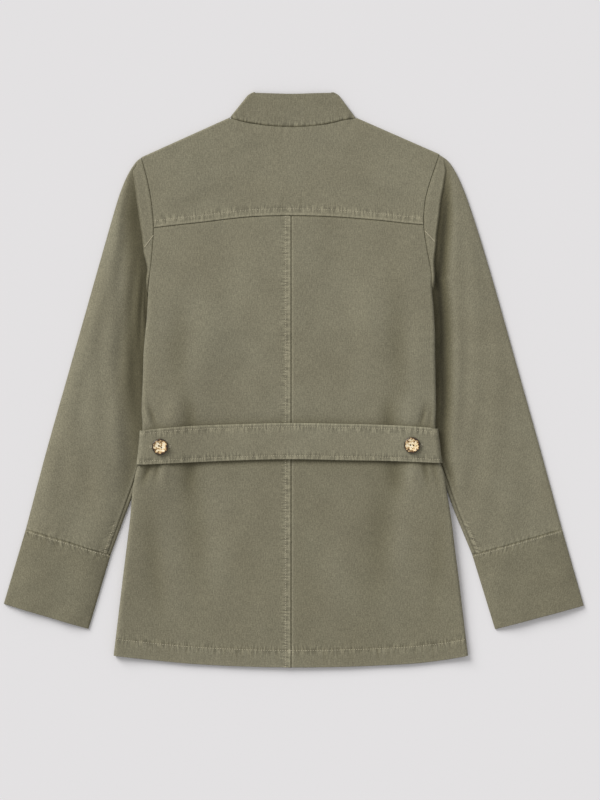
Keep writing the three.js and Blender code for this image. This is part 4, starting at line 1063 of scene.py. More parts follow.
def front_grid(side):
    """Middle points of one front, laid on the surface from the side seam to its lap."""
    armhole = FRONT_ARMHOLE[side.name]
    neck_width = abs(side.neck[0] - CENTRE) + SEAM
    lap_x = CENTRE - side.sign * LAP
    angles = np.radians(np.concatenate([np.linspace(6, 86, 12), [90]]))
    neck = np.stack([
        CENTRE + side.sign * neck_width * np.cos(angles),
        side.neck[1] - (FRONT_NECK_DEPTH + SEAM) * np.sin(angles),
    ], 1)
    inward = shoulder_inward(side)
    clear = inward * (SHOULDER_RETURN + SEAM + TIP_CLEAR)
    tip = side.tip - np.array([side.sign * TIP_CLEAR, 0]) + clear
    shoulder = neck[0] + (tip - neck[0]) * np.linspace(1, 0, 16)[:-1, None]
    share = 1 - (LAP / neck_width) ** 2
    lap_top = np.array([lap_x, side.neck[1] - (FRONT_NECK_DEPTH + SEAM) * math.sqrt(share) - 3])
    lap = mix(neck[-1], lap_top, np.linspace(0, 1, 5)[1:, None])
    tops = np.concatenate([shoulder, neck, lap])
    width = np.abs(tops[:, 0] - tops[0, 0])
    shares = width / width[-1]

    def height(x, y):
        stays = 1 - smooth((y - 80) / 40)
        over = LAP_LIFT * smooth((LAP + LAP_RAMP - side.sign * (x - CENTRE)) / LAP_RAMP) * side.laps
        return CLOTH / 2 + lower_lift(side, x, y) * stays + over

    end_y = hem_y(side_x(side, HEM_EDGE_Y)) + FRONT_HEM_INSET
    lines = np.linspace(UNDERARM_Y, end_y, 70)
    seam_x = side_seam_x(side, lines) - side.sign * SEAM / 2
    x = mix(seam_x[:, None], lap_x, shares)
    y = lines[:, None] + hem_curve(x, seam_x[:, None], lines[:, None])
    u = np.linspace(0, 1, 36)[:-1]
    arm = armhole.spot(u)
    arm[:, 0] -= side.sign * mix(1.0, 5.0, smooth((u - 0.6) / 0.3))
    arm = mix(tip, arm, smooth(u / 0.2)[:, None])
    arm = mix(arm, np.array([seam_x[0], UNDERARM_Y]), smooth((u - 0.84) / 0.16)[:, None])
    rise = ((arm[:, 1] - UNDERARM_Y) / (tip[1] - UNDERARM_Y))[:, None]
    base = np.stack([x[0], y[0]], 1)
    at = mix(base[None], tops[None], rise[..., None])
    straight = mix(base[0], tip, rise)
    weight = np.maximum(0, 1 - np.arange(len(tops)) / 15) ** 2
    at += (arm - straight)[:, None] * weight[None, :, None]
    x = np.concatenate([at[..., 0], x])
    y = np.concatenate([at[..., 1], y])
    return np.stack([x, y, height(x, y)], 2)


# Sleeves and cuffs


def by_length(x, y):
    """A table of points with the distance along them as column s."""
    points = np.column_stack([x, y])
    gaps = np.linalg.norm(np.diff(points, axis=0), axis=1)
    s = np.concatenate([[0], np.cumsum(gaps)])
    return Table("s x y", np.column_stack([s, points]))


def sleeve_line(side, t):
    """Outer and inner end of the sleeve's rows at shares t of the way to the cuff seam."""
    outer = by_length(*OUTER[side.name].columns.values())
    columns = INNER.columns
    rows = (columns["y"] <= UNDERARM_Y) & (columns["y"] >= CUFF_SEAM_Y)
    inner = by_length(columns[side.name][rows], columns["y"][rows])
    s = t * inner.columns["s"][-1]
    end = np.stack([inner.line("x", s, "s"), inner.line("y", s, "s")], -1)
    return outer.spot(t * outer.columns["s"][-1], "s"), end


def sleeve_place(side, table, t, u):
    """Places across the sleeve's rows, which start along the armhole and end straight."""
    start, end = sleeve_line(side, t)
    last = np.array([INNER.line(side.name, UNDERARM_Y), UNDERARM_Y])
    t, u = np.broadcast_to(t, u.shape)[..., None], u[..., None]
    bend = (table.spot(u[..., 0]) - mix(side.tip, last, u)) * (1 - t) ** 3
    return mix(start, end, u) + bend


def beside_armhole(side, u, out):
    """Places that far out from the armhole seam."""
    table = ARMHOLE[side.name]
    step = 0.01
    along = table.spot(u + step) - table.spot(u - step)
    outward = np.stack([-along[..., 1], along[..., 0]], -1) * side.sign
    outward /= np.hypot(*outward.T).T[..., None]
    return table.spot(u) + outward * out[..., None]


def sleeve_rows():
    """Rows of the sleeve: way to the cuff seam, way over the folded head, and way down its step."""
    head = np.array([0, 0.04, 0.1, 0.2, 0.4, 0.6, 0.8, 0.92, 1])
    foot = np.array([0.2, 0.4, 0.6, 0.8, 1])
    places = spaced(SLEEVE_LENGTH, 2.4, (0.8, 1.6), (0.5, 1.2, 2.4, 3.6))[1:] / SLEEVE_LENGTH
    free = mix(STEP_END, 1, places)
    t = np.concatenate([HEAD_END * head, mix(HEAD_END, STEP_END, foot), free])
    over = np.concatenate([head, np.ones(len(foot) + len(free))])
    down = np.concatenate([np.zeros(len(head)), foot, np.ones(len(free))])
    return t, over, down


def sleeve_tone(t, s, seed):
    """Tone of the sleeve by its cuff seam, with painted shade in the seam and painted light and
    shade on its ridge and puckers; the puckers there; and the distance to the seam.
    """
    to_cuff = (1 - t) * SLEEVE_LENGTH
    pucker = ripple(s, 11, seed)
    tone = 0.97 - 0.03 * smooth(t) + 0.07 * pucker * fade(np.abs(to_cuff - 4), 8)
    tone = tone - 0.28 * bump(to_cuff, 1.0) + 0.09 * bump(to_cuff - 2.6, 1.4)
    return tone, pucker, to_cuff


def sleeve_top_grid(side):
    """Middle points of the top sleeve: strip below the outer fold, fold, and upper layer."""
    t, over, down = (values[:, None] for values in sleeve_rows())
    start, end = sleeve_line(side, t[:, 0])
    width = np.linalg.norm(end - start, axis=1)[:, None]
    last = 1 - (SEAM_INNER + SEAM / 2) / width
    middle = np.linspace(0.05, 0.93, 56)
    u = last * np.concatenate([[0.02, 0.035], middle, [0.95, 0.965, 0.98, 0.99, 1]])
    tied = sleeve_place(side, ARMHOLE[side.name], t, u)
    ledge = ARMHOLE[side.name].line("ledge", np.clip(u, 0, 1), "u")
    out = SEAM / 2 + ledge * over + LEDGE_FOOT * down
    blend = np.minimum(smooth(u / 0.07), smooth((1 - u) / 0.09))
    beside = mix(tied, beside_armhole(side, u, out), blend[..., None])
    parted = smooth((t - STEP_END) / 0.07)
    at = mix(beside, tied, parted[..., None])
    x, y = at[..., 0], at[..., 1]
    s = u * width
    free = sleeve_height(side, x, y, s, width)
    clear = smooth((t - 0.03) / 0.1) * smooth((width - s) / 30) * smooth(s / 30)
    free = free + 1.3 * undulation(s, t * SLEEVE_LENGTH, 70, 190, 51 + side.sign) * clear
    head_top = np.interp(t, [0, HEAD_END, STEP_END, 0.09, 0.17], [4.6, 4.2, 3.9, 3.3, 3.0])
    head = mix(head_top, back_height(side, x, y), smooth(u / 0.07))
    head = head - 0.55 * fade(ledge * over, 0.8) + 0.2 * bump(ledge * over - 2.5, 1.5)
    head = mix(head, SLEEVE_LOW, smooth((u - 0.70) / 0.03))
    step = 1 - np.sqrt(np.clip(1 - down**2, 0, 1))
    z = mix(head, free, step)
    tone, pucker, to_cuff = sleeve_tone(t, s, 41 + side.sign)
    # Painted shade in the hollow beside the body
    tone = tone * mix(1, painted_hollow_shade(side, x, y), down)
    z = z + 0.4 * pucker * fade(np.abs(to_cuff - 3), 8) * smooth(s / 8) - 0.5 * fade(to_cuff, 0.9)
    to_seam = last * width - s
    back_seam = 1 - smooth((to_seam - SLEEVE_STITCH) / 2)
    z = z + parted * (0.4 * back_seam - 0.35 * bump(to_seam - SLEEVE_STITCH, 1.0))
    z = z - parted * 0.5 * fade(to_seam, 0.8)
    ladder = ripple(t * SLEEVE_LENGTH, 7, 45) * bump(to_seam - SLEEVE_STITCH, 4)
    # Painted shade in the back seam, and painted light and shade on the puckers beside it
    tone = tone + parted * (seam_shade_and_ridge(to_seam, 0.16, 0.2) + 0.05 * ladder)
    tone = tone + SLEEVE_FOLD_PALENESS[side.name] * bump(s - 2, 16) * down
    beside_seam = ledge * over + 40 * down + 2000 * (t > 0.02)
    # Painted shade in the armhole seam
    tone = tone + seam_shade_and_ridge(beside_seam, 0.34, 0.12)
    # Painted highlight on the edge of the folded head
    tone = tone + 0.07 * bump(beside_seam - ledge, 1.8) * (down < 0.5)
    lower = np.full(len(t), CLOTH / 2)
    turn_inset, turn_z = round_fold(head_top[:, 0], lower, 8)
    turn_u = (turn_inset + CLOTH / 2) / width
    turn_at = sleeve_place(side, ARMHOLE[side.name], t, turn_u)
    strip_u = np.array([1, 0.66, 0.33]) * (SEAM_UNDER - SEAM / 2) / width
    strip_at = sleeve_place(side, FRONT_ARMHOLE[side.name], t, strip_u)
    turn = np.concatenate([turn_at, turn_z[..., None]], 2)[:, ::-1]
    strip = np.concatenate([strip_at, np.full(strip_u.shape + (1,), CLOTH / 2)], 2)
    top = np.stack([x, y, z], 2)
    points = np.concatenate([strip, turn, top], 1)
    tones = np.concatenate([np.ones((len(t), strip.shape[1] + turn.shape[1])), tone], 1)
    points[..., 0] += side.sign * SEAM / 2 * (t == 0)
    points[..., :2] += end_gap(start, end)[:, None] * (t == 1)[..., None]
    return points, tones


def end_gap(start, end):
    """Half a seam's gap back up the sleeve, for its last row."""
    along = (end - start) / np.linalg.norm(end - start, axis=1, keepdims=True)
    sign = np.sign(end[:1, 0] - start[:1, 0])
    back = np.stack([-along[:, 1], along[:, 0]], 1) * sign[:, None]
    return np.where(back[:, 1:] > 0, back, -back) * SEAM / 2


def sleeve_under_grid(side):
    """Middle points of the under sleeve: lower layer, inner fold and strip to the back seam."""
    t = np.concatenate([[0, 0.01], np.linspace(0.03, 1, 110)])[:, None]
    start, end = sleeve_line(side, t[:, 0])
    width = np.linalg.norm(end - start, axis=1)[:, None]
    first = (SEAM_UNDER + SEAM / 2) / width
    lower = CLOTH / 2
    inset, turn_z = round_fold(np.full(len(t), SLEEVE_LOW), np.full(len(t), lower), 8)
    turn_u = 1 - (inset + CLOTH / 2) / width
    flat_u = mix(first, turn_u[:, -1:] - 0.01, np.linspace(0, 1, 24))
    table = FRONT_ARMHOLE[side.name]
    flat = sleeve_place(side, table, t, flat_u)
    turn = sleeve_place(side, table, t, turn_u)[:, ::-1]
    strip_u = 1 - mix(INNER_STRIP, SEAM_INNER - SEAM / 2, np.linspace(0, 1, 5)) / width
    strip = sleeve_place(side, ARMHOLE[side.name], t, strip_u)
    s = strip_u * width
    strip_z = sleeve_height(side, strip[..., 0], strip[..., 1], s, width)
    to_seam = np.linspace(SEAM_INNER - SEAM / 2 - INNER_STRIP, 0, 5)
    strip_z = strip_z - 0.3 * fade(to_seam, 0.8)
    flat_z = np.full(flat_u.shape, lower)
    at = np.concatenate([flat, turn, strip], 1)
    z = np.concatenate([flat_z, turn_z[:, ::-1], strip_z], 1)
    points = np.concatenate([at, z[..., None]], 2)
    points[..., :2] += end_gap(start, end)[:, None] * (t == 1)[..., None]
    tone = np.ones(z.shape)
    # Painted shade in the back seam
    tone[:, -5:] += seam_shade_and_ridge(to_seam, 0.16, 0.06)
    # Painted shade on the inner fold, which faces away from the light
    tone[:, -13:-5] *= INNER_FOLD_SHADE[side.name]
    return points, tone


def cuff_grid(side):
    """Middle points of one plain cuff, a flattened band from its seam to its free edge."""
    start, end = sleeve_line(side, np.array([1.0]))
    outer_end, inner_end = (np.array(corner) for corner in CUFF_END[side.name])
    length = np.linalg.norm(outer_end - start[0])
    forward = (outer_end - start[0]) / length
    t = spaced(length, 2.1, (0.5, 1.2, 2.4, 3.6), (0.6, 1.4))[:, None] / length
    gap = forward * SEAM / 2 * (t == 0)
    a = mix(start[0], outer_end, t) + gap
    b = mix(end[0], inner_end, t) + gap
    width = np.linalg.norm(b - a, axis=1)[:, None]
    lower = np.full(len(t), CLOTH / 2)
    outer_inset, outer_z = round_fold(np.full(len(t), SLEEVE_EDGE), lower, 8)
    inner_inset, inner_z = round_fold(np.full(len(t), SLEEVE_LOW), lower, 8)
    s_outer = outer_inset[:, ::-1] + CLOTH / 2
    s_top = width * np.linspace(0.03, 0.975, 54)
    s_inner = width - inner_inset - CLOTH / 2
    s_under = width * np.linspace(0.92, 0.08, 14)
    peak = mix(SLEEVE_FULL, CUFF_END_HEIGHT, t)
    from_outer = mix(SLEEVE_EDGE, peak, rounded(s_top / SLEEVE_ROUND))
    from_inner = mix(SLEEVE_LOW, peak, rounded((width - s_top) / SLEEVE_ROUND))
    from_seam = t * length
    from_edge = (1 - t) * length
    pucker = ripple(s_top, 11, 41 + side.sign)
    z = lower_of(from_outer, from_inner)
    inside = smooth(s_top / 12) * smooth((width - s_top) / 12)
    z = z + 0.4 * pucker * fade(np.abs(from_seam - 4), 8) * inside - 0.45 * fade(from_seam, 0.8)
    loose = 0.6 * undulation(s_top, from_seam, 60, 80, 61 + side.sign)
    z = z + loose * inside * smooth(from_seam / 20)
    # Painted shade in the cuff seam, and painted highlights on its ridge and the puckers
    tone = CUFF_TONE + 0.07 * pucker * fade(np.abs(from_seam - 4), 8)
    tone = tone - 0.28 * bump(from_seam, 0.9) + 0.13 * bump(from_seam - 2.0, 1.2)
    tone = tone - 0.03 * bump(from_edge - 9, 1.2) + 0.03 * ripple(s_top, 8, 71) * bump(from_edge, 8)
    s = np.concatenate([s_outer, s_top, s_inner, s_under], 1)
    z = np.concatenate([outer_z[:, ::-1], z, inner_z, np.full(s_under.shape, CLOTH / 2)], 1)
    at = mix(a[:, None], b[:, None], (s / width)[..., None])
    tones = np.full(s.shape, CUFF_TONE)
    top_end = s_outer.shape[1] + s_top.shape[1]
    tones[:, s_outer.shape[1]:top_end] = tone
    # Painted shade on the inner fold
    tones[:, top_end:top_end + s_inner.shape[1]] *= INNER_FOLD_SHADE[side.name]
    return np.concatenate([at, z[..., None]], 2), tones


# The half belt and its buttons


def below_belt(side, x, y):
    """Middle of the back's cloth with the solids' own creases, which the belt follows."""
    return rest_height(side, x, y) + crease_height(x, y, SOLID_CREASES)


def belt_height(side, x, y, wall):
    return below_belt(side, x, y) + CLOTH / 2 + BELT_GAP + wall / 2


def belt_surface(x, y, t, z):
    """The belt's height and tone with its edge stitching and puckers: painted highlights on its
    edges, and painted light and shade on the puckers.
    """
    inside = np.minimum(t, 1 - t) * BELT_DEPTH
    pucker = ripple(x, 8.5, 81) * (t < 0.5) + ripple(x, 8.5, 82) * (t >= 0.5)
    z = z - 0.3 * fade(inside, 0.9) - 0.35 * bump(inside - BELT_STITCH, 1.0)
    z = z + 0.3 * pucker * bump(inside - BELT_STITCH, 4.5) + 0.4 * undulation(x, y, 70, 60, 83)
    tone = 0.99 + 0.065 * pucker * bump(inside - BELT_STITCH, 4) + 0.24 * bump(inside - 0.4, 1.3)
    return z, tone - 0.04 * bump(inside - BELT_STITCH - 1, 0.9)


def belt_grid(wall):
    """Middle points of the half belt, bent round both side folds."""
    over = CLOTH / 2 + BELT_GAP + wall / 2
    by_edge = (0.5, 1.2, 2.2, 3.6, 4.4, 5.2)
    t = spaced(BELT_DEPTH, 1.9, by_edge, by_edge)[:, None] / BELT_DEPTH
    halves = []
    tones = []
    for side in (LEFT, RIGHT):

        def belt_y(x):
            return mix(belt_top(x), belt_bottom(x), t)

        y = belt_y(side.tip[0])
        edge = side_x(side, y)
        upper = below_belt(side, edge, y)
        lower = CLOTH / 2 + lower_lift(side, edge, y)
        radius = (upper - lower) / 2
        turned = edge - side.sign * (radius + CLOTH / 2)
        x = mix(CENTRE, turned, np.linspace(0, 0.985, 92))
        at_y = belt_y(x)
        z, tone = belt_surface(x, at_y, t, belt_height(side, x, at_y, wall))
        angles = np.radians(np.linspace(90, -20, 14))
        reach = radius + over + BELT_SLACK * np.cos(angles)
        turn_x = turned + side.sign * reach * np.cos(angles)
        turn_z = lower + radius + reach * np.sin(angles)
        turn_y = np.broadcast_to(y, turn_x.shape)
        halves.append(np.stack([
            np.concatenate([x, turn_x], 1),
            np.concatenate([at_y, turn_y], 1),
            np.concatenate([z, turn_z], 1),
        ], 2))
        tones.append(np.concatenate([tone, np.ones(turn_x.shape)], 1))
    return joined(halves), joined(tones)


def button_place(x, y, wall):
    """Middle of a button's underside and the direction that it faces."""
    side = LEFT if x < CENTRE else RIGHT
    reach = BUTTON_RADIUS
    ahead = belt_height(side, x + reach, y, wall)
    behind = belt_height(side, x - reach, y, wall)
    normal = Vector((-(ahead - behind) / (2 * reach), 0, 1)).normalized()
    middle = max(belt_height(side, x, y, wall), (ahead + behind) / 2)
    return Vector((x, y, middle)) + normal * (wall / 2 + 2 * SEAM), normal


def build_button(name, x, y, turn, wall):
    """A two-hole button with a raised rim and a dished face, lying on the belt."""
    profile = [
        (0.0, 0.0), (0.86, 0.0), (0.95, 0.05), (1.0, 0.2), (1.0, 0.58), (0.985, 0.76),
        (0.95, 0.9), (0.89, 0.98), (0.83, 1.0), (0.77, 0.97), (0.7, 0.88), (0.62, 0.78),
        (0.5, 0.7), (0.35, 0.65), (0.18, 0.62), (0.0, 0.61),
    ]
    count = 72
    angles = np.linspace(0, 2 * np.pi, count, endpoint=False)
    vertices = [(0, 0, 0)]
    for radius, height in profile[1:-1]:
        ring, z = radius * BUTTON_RADIUS, height * BUTTON_HEIGHT
        vertices += [(ring * math.cos(a), ring * math.sin(a), z) for a in angles]
    vertices.append((0, 0, profile[-1][1] * BUTTON_HEIGHT))
    last = len(vertices) - 1
    rings = len(profile) - 2
    faces = [(0, 1 + (k + 1) % count, 1 + k) for k in range(count)]
    for ring in range(rings - 1):
        base = 1 + ring * count
        for k in range(count):
            following = (k + 1) % count
            faces.append((base + k, base + following, base + count + following, base + count + k))
    base = 1 + (rings - 1) * count
    faces += [(base + k, base + (k + 1) % count, last) for k in range(count)]
    mesh = bpy.data.meshes.new(name)
    mesh.from_pydata([tuple(c * MM for c in v) for v in vertices], [], faces)
    button = linked(name, mesh)
    drills = []
    for sign in (-1, 1):
        bpy.ops.mesh.primitive_cylinder_add(
            vertices=20, radius=BUTTON_HOLE * MM, depth=4 * BUTTON_HEIGHT * MM,
            location=(sign * BUTTON_HOLE_SPACING / 2 * MM, 0, 0),
        )
        drill = bpy.context.object
        cut = button.modifiers.new("Hole", "BOOLEAN")
        cut.operation = "DIFFERENCE"
        cut.solver = "EXACT"
        cut.object = drill
        drills.append(drill)
    cut_mesh = bake(button)
    for drill in drills:
        bpy.data.objects.remove(drill)
    seat, normal = button_place(x, y, wall)
    facing = Vector((0, 0, 1)).rotation_difference(normal).to_matrix().to_4x4()
    move = Matrix.Translation(seat * MM) @ facing @ Matrix.Rotation(math.radians(turn), 4, "Z")
    cut_mesh.transform(move)
    cut_mesh.polygons.foreach_set("use_smooth", np.ones(len(cut_mesh.polygons), bool))
    cut_mesh.set_sharp_from_angle(angle=math.radians(40))
    return button, seat


# Sewing


def node(tree, kind, settings=None, inputs=None, **named):
    """Adds a node with its settings. An input, by name or number, takes a link or a value."""
    made = tree.nodes.new(kind)
    for key, value in (settings or {}).items():
        setattr(made, key, value)
    named = {key.replace("_", " "): value for key, value in named.items()}
    for key, value in {**(inputs or {}), **named}.items():
        if isinstance(value, bpy.types.NodeSocket):
            tree.links.new(value, made.inputs[key])
        else:
            made.inputs[key].default_value = value
    return made


def reckon(tree, operation, *terms):
    """The result of an operation on sockets and numbers."""
    settings = {"operation": operation}
    return node(tree, "ShaderNodeMath", settings, dict(enumerate(terms))).outputs[0]


def stitch_tree():
    """Geometry Nodes: rounded stitches at an even pitch along the edges of a mesh."""
    tree = bpy.data.node_groups.new("Topstitching", "GeometryNodeTree")
    sockets = [
        ("Seam Lines", "NodeSocketGeometry", None),
        ("Pitch", "NodeSocketFloat", 0.003),
        ("Stitch Length", "NodeSocketFloat", 0.0024),
        ("Thread Thickness", "NodeSocketFloat", 0.0006),
        ("Turn", "NodeSocketFloat", 0.0),
        ("Unevenness", "NodeSocketFloat", 0.12),
        ("Seed", "NodeSocketInt", 7),
        ("Thread", "NodeSocketMaterial", None),
    ]
    for name, kind, default in sockets:
        socket = tree.interface.new_socket(name, in_out="INPUT", socket_type=kind)
        if default is not None:
            socket.default_value = default
    tree.interface.new_socket("Stitches", in_out="OUTPUT", socket_type="NodeSocketGeometry")
    given = node(tree, "NodeGroupInput").outputs
    curves = node(tree, "GeometryNodeMeshToCurve", Mesh=given["Seam Lines"])
    places = node(tree, "GeometryNodeCurveToPoints", {"mode": "LENGTH"},
                  {"Curve": curves.outputs[0], "Length": given["Pitch"]})
    along = node(tree, "FunctionNodeAlignRotationToVector", {"axis": "X", "pivot_axis": "Z"},
                 {"Vector": places.outputs["Tangent"]})
    spin = node(tree, "FunctionNodeAxisAngleToRotation", Axis=(0, 0, 1), Angle=given["Turn"])
    turned = node(tree, "FunctionNodeRotateRotation", {"rotation_space": "LOCAL"},
                  {"Rotation": along.outputs[0], "Rotate By": spin.outputs[0]})
    least = reckon(tree, "SUBTRACT", 1.0, given["Unevenness"])
    most = reckon(tree, "ADD", 1.0, given["Unevenness"])
    size = node(tree, "FunctionNodeRandomValue", {"data_type": "FLOAT"},
                {2: least, 3: most, "Seed": given["Seed"]})
    bead = node(tree, "GeometryNodeMeshUVSphere", Segments=6, Rings=5, Radius=0.5)
    thick = given["Thread Thickness"]
    shape = node(tree, "ShaderNodeCombineXYZ", X=given["Stitch Length"], Y=thick, Z=thick)
    stitch = node(tree, "GeometryNodeTransform", Geometry=bead.outputs[0], Scale=shape.outputs[0])
    laid = node(tree, "GeometryNodeInstanceOnPoints", Points=places.outputs["Points"],
                Instance=stitch.outputs[0], Rotation=turned.outputs[0], Scale=size.outputs[1])
    real = node(tree, "GeometryNodeRealizeInstances", Geometry=laid.outputs[0])
    smoothed = node(tree, "GeometryNodeSetShadeSmooth", Geometry=real.outputs[0])
    finished = node(tree, "GeometryNodeSetMaterial", Geometry=smoothed.outputs[0],
                    Material=given["Thread"])
    node(tree, "NodeGroupOutput", Stitches=finished.outputs[0])
    return tree


def sew(name, lines, thread, **sizes):
    """Bakes stitches along lines of points, given in millimetres, as one plain mesh."""
    vertices = np.concatenate(lines) * MM
    edges = []
    first = 0
    for line in lines:
        edges += [(first + k, first + k + 1) for k in range(len(line) - 1)]
        first += len(line)
    mesh = bpy.data.meshes.new(name)
    mesh.from_pydata(vertices.tolist(), edges, [])
    piece = linked(name, mesh)
    tree = bpy.data.node_groups.get("Topstitching") or stitch_tree()
    sewing = piece.modifiers.new("Sewing", "NODES")
    sewing.node_group = tree
    given = [item for item in tree.interface.items_tree if item.in_out == "INPUT"]
    ids = {item.name: item.identifier for item in given}
    sewing[ids["Thread"]] = thread
    for key, value in sizes.items():
        sewing[ids[key.replace("_", " ").title()]] = value
    if not bake(piece).polygons:
        raise RuntimeError(f"{name} has no stitches")
    on_body(piece)


def on_top(x, y, z, thickness):
    """Points half sunk in the face of cloth whose middle is at that height."""
    return np.stack([x, y, z + thickness / 2 + 0.1], 1)


def body_seams():
    """Lines of topstitching on the yoke, by the centre back and along the hem."""
    lines = []
    for side in (LEFT, RIGHT):
        edge = ARMHOLE[side.name].curve("x", YOKE_EDGE[side.name]) - side.sign * 2
        x = np.linspace(CENTRE, edge, 110)
        y = yoke_y(x) + YOKE_STITCH
        lines.append(on_top(x, y, yoke_surface(side, x, y)[0], CLOTH))
        hem_end = side_x(side, HEM_FOLD_Y) - side.sign * 3
        x = np.linspace(CENTRE + side.sign, hem_end, 120)
        y = hem_y(x) + HEM
        lines.append(on_top(x, y, back_surface(side, x, y)[0], CLOTH))
    for top, bottom in ((212, -54), (-104, -373)):
        y = np.linspace(top, bottom, 150)
        x = np.full(150, CENTRE - CENTRE_STITCH)
        lines.append(on_top(x, y, back_surface(LEFT, x, y)[0], CLOTH))
    return lines


def grid_line(points, thickness, row=None, column=None, cells=slice(None)):
    """A row or column of a grid of middle points, raised to the face of the cloth."""
    line = points[row, cells] if row is not None else points[cells, column]
    return line + np.array([0, 0, thickness / 2 + 0.1])


def neck_line():
    """The seam that joins the collar to the yoke, as seen from above."""
    x = np.linspace(LEFT.neck[0], RIGHT.neck[0], 80)
    return np.stack([x, neck_y(x)], 1)


def belt_seams(wall):
    """Lines of topstitching round the half belt's long edges."""
    points = belt_grid(wall)[0]
    inset = np.linalg.norm(points[:, 60, :2] - points[0, 60, :2], axis=1)
    row = int(np.argmin(np.abs(inset - BELT_STITCH)))
    cells = slice(8, points.shape[1] - 8)
    return [grid_line(points, wall, row=r, cells=cells) for r in (row, len(inset) - 1 - row)]


def sleeve_seams(side):
    """Lines of topstitching on a sleeve: by its back seam near the cuff, and on the cuff's top."""
    points = sleeve_top_grid(side)[0]
    rows = points.shape[0]
    step = np.linalg.norm(points[-1, 1:] - points[-1, :-1], axis=1)
    from_seam = np.cumsum(step[::-1])[::-1]
    column = int(np.argmin(np.abs(from_seam - SLEEVE_STITCH)))
    cuff = cuff_grid(side)[0]
    return [
        grid_line(points, CLOTH, column=column, cells=slice(int(rows * 0.88), rows)),
        grid_line(cuff, CLOTH, row=3, cells=slice(4, 64)),
    ]


def head_seam(side):
    """Line of the sleeve's back seam where it crosses the folded head."""
    start, end = HEAD_SEAM[side.name]
    x, y = np.linspace(start, end, 12).T
    return on_top(x, y, back_height(side, x, y), CLOTH)


# Materials


def blank_material(name):
    """A new material with no nodes, and its node tree."""
    material = bpy.data.materials.new(name)
    material.use_nodes = True
    material.node_tree.nodes.clear()
    return material, material.node_tree


def tint(tree, share, low, high):
    """A colour between two colours, by a share from 0 to 1."""
    inputs = {"Factor": share, 6: low, 7: high}
    return node(tree, "ShaderNodeMix", {"data_type": "RGBA"}, inputs).outputs[2]


def scaled_colour(colour, red, green=None, blue=None):
    """A colour made lighter or darker, channel by channel where three factors are given."""
    factors = (red, green or red, blue or red)
    return (*[min(1, c * f) for c, f in zip(colour, factors)], 1)


def canvas_material(colour):
    """Garment-dyed cotton canvas, plain woven and washed: matt, with faintly slubbed threads both
    ways, a soft mottle from the dye bath, and the pieces' tone: painted shade in seams, creases and
    hollows, and paler ridges, partly rubbed and partly painted highlight."""
    material, tree = blank_material("Garment-dyed cotton canvas")
    uv = node(tree, "ShaderNodeUVMap", {"uv_map": "grain"}).outputs[0]
    place = node(tree, "ShaderNodeTexCoord").outputs["Object"]

    def threads(across_mm, along_mm, detail):
        """Noise drawn out along the threads, from its size across and along the cloth."""
        scale = (1000 / across_mm, 1000 / along_mm, 1)
        scaled = node(tree, "ShaderNodeMapping", Vector=uv, Scale=scale).outputs[0]
        return node(tree, "ShaderNodeTexNoise", {"noise_dimensions": "2D"}, Vector=scaled,
                    Scale=1.0, Detail=detail, Roughness=0.6).outputs["Fac"]

    def weigh(source, low, high):
        """A noise value spread between two brightness factors."""
        return node(tree, "ShaderNodeMapRange", Value=source, From_Min=0.3, From_Max=0.7,
                    To_Min=low, To_Max=high).outputs[0]

    # Real threads are 0.4 mm apart, too fine to show, so the slubs are drawn 1.3 mm wide
    warp = threads(1.3, 7, 2.0)
    weft = threads(7, 1.6, 2.0)
    speck = threads(1.5, 1.9, 1.0)
    cloud = node(tree, "ShaderNodeTexNoise", Vector=place, Scale=9.0, Detail=3.0,
                 Roughness=0.55).outputs["Fac"]
    drift = node(tree, "ShaderNodeTexNoise", Vector=place, Scale=38.0, Detail=2.0,
                 Roughness=0.6).outputs["Fac"]
    # The pieces' tone carries painted shade and painted highlights along with the cloth's own tone
    tone = node(tree, "ShaderNodeAttribute", {"attribute_name": "tone"}).outputs["Fac"]
    factor = weigh(warp, 0.885, 1.115)
    for source, low in ((weft, 0.955), (speck, 0.87), (cloud, 0.96), (drift, 0.96)):
        factor = reckon(tree, "MULTIPLY", factor, weigh(source, low, 2 - low))
    factor = reckon(tree, "MULTIPLY", factor, tone)
    # Stitching draws the cloth up into short tucks across each seam, about 5 mm apart. Their lit
    # and shaded sides are painted into the colour as well as raised in the bump
    pull = node(tree, "ShaderNodeAttribute", {"attribute_name": "pull"}).outputs["Fac"]
    tucks = []
    for noise, most in ((threads(2.3, 12, 0.0), 1), (threads(12, 2.1, 0.0), -1)):
        share = node(tree, "ShaderNodeMapRange", Value=pull, From_Min=0.0, From_Max=most)
        tucks.append(reckon(tree, "MULTIPLY", weigh(noise, -0.5, 0.5), share.outputs[0]))
        lit = reckon(tree, "MULTIPLY_ADD", tucks[-1], 0.52, 1.0)
        factor = reckon(tree, "MULTIPLY", factor, lit)
    # The dye is a little greener where it took less
    hue = tint(tree, cloud, scaled_colour(colour, 1.02, 1, 0.97),
               scaled_colour(colour, 0.98, 1.005, 1.03))
    # In the hollows the light comes off other cloth, so the colour is warmer there
    deep = node(tree, "ShaderNodeMapRange", Value=tone, From_Min=0.95, From_Max=0.45)
    warmer = tint(tree, deep.outputs[0], hue, scaled_colour(colour, 1.02, 0.99, 0.84))
    scaled = node(tree, "ShaderNodeVectorMath", {"operation": "SCALE"}, {0: warmer}, Scale=factor)
    relief = reckon(tree, "ADD", threads(0.9, 1.1, 0.0), warp)
    for tuck in tucks:
        relief = reckon(tree, "ADD", relief, tuck)
    raised = node(tree, "ShaderNodeBump", Height=relief, Strength=0.35, Distance=0.0003)
    cloth = node(tree, "ShaderNodeBsdfPrincipled", Base_Color=scaled.outputs[0],
                 Normal=raised.outputs[0], Roughness=0.92, IOR=1.45, Sheen_Weight=0.08,
                 Sheen_Roughness=0.5, Specular_IOR_Level=0.2)
    node(tree, "ShaderNodeOutputMaterial", Surface=cloth.outputs[0])
    return material


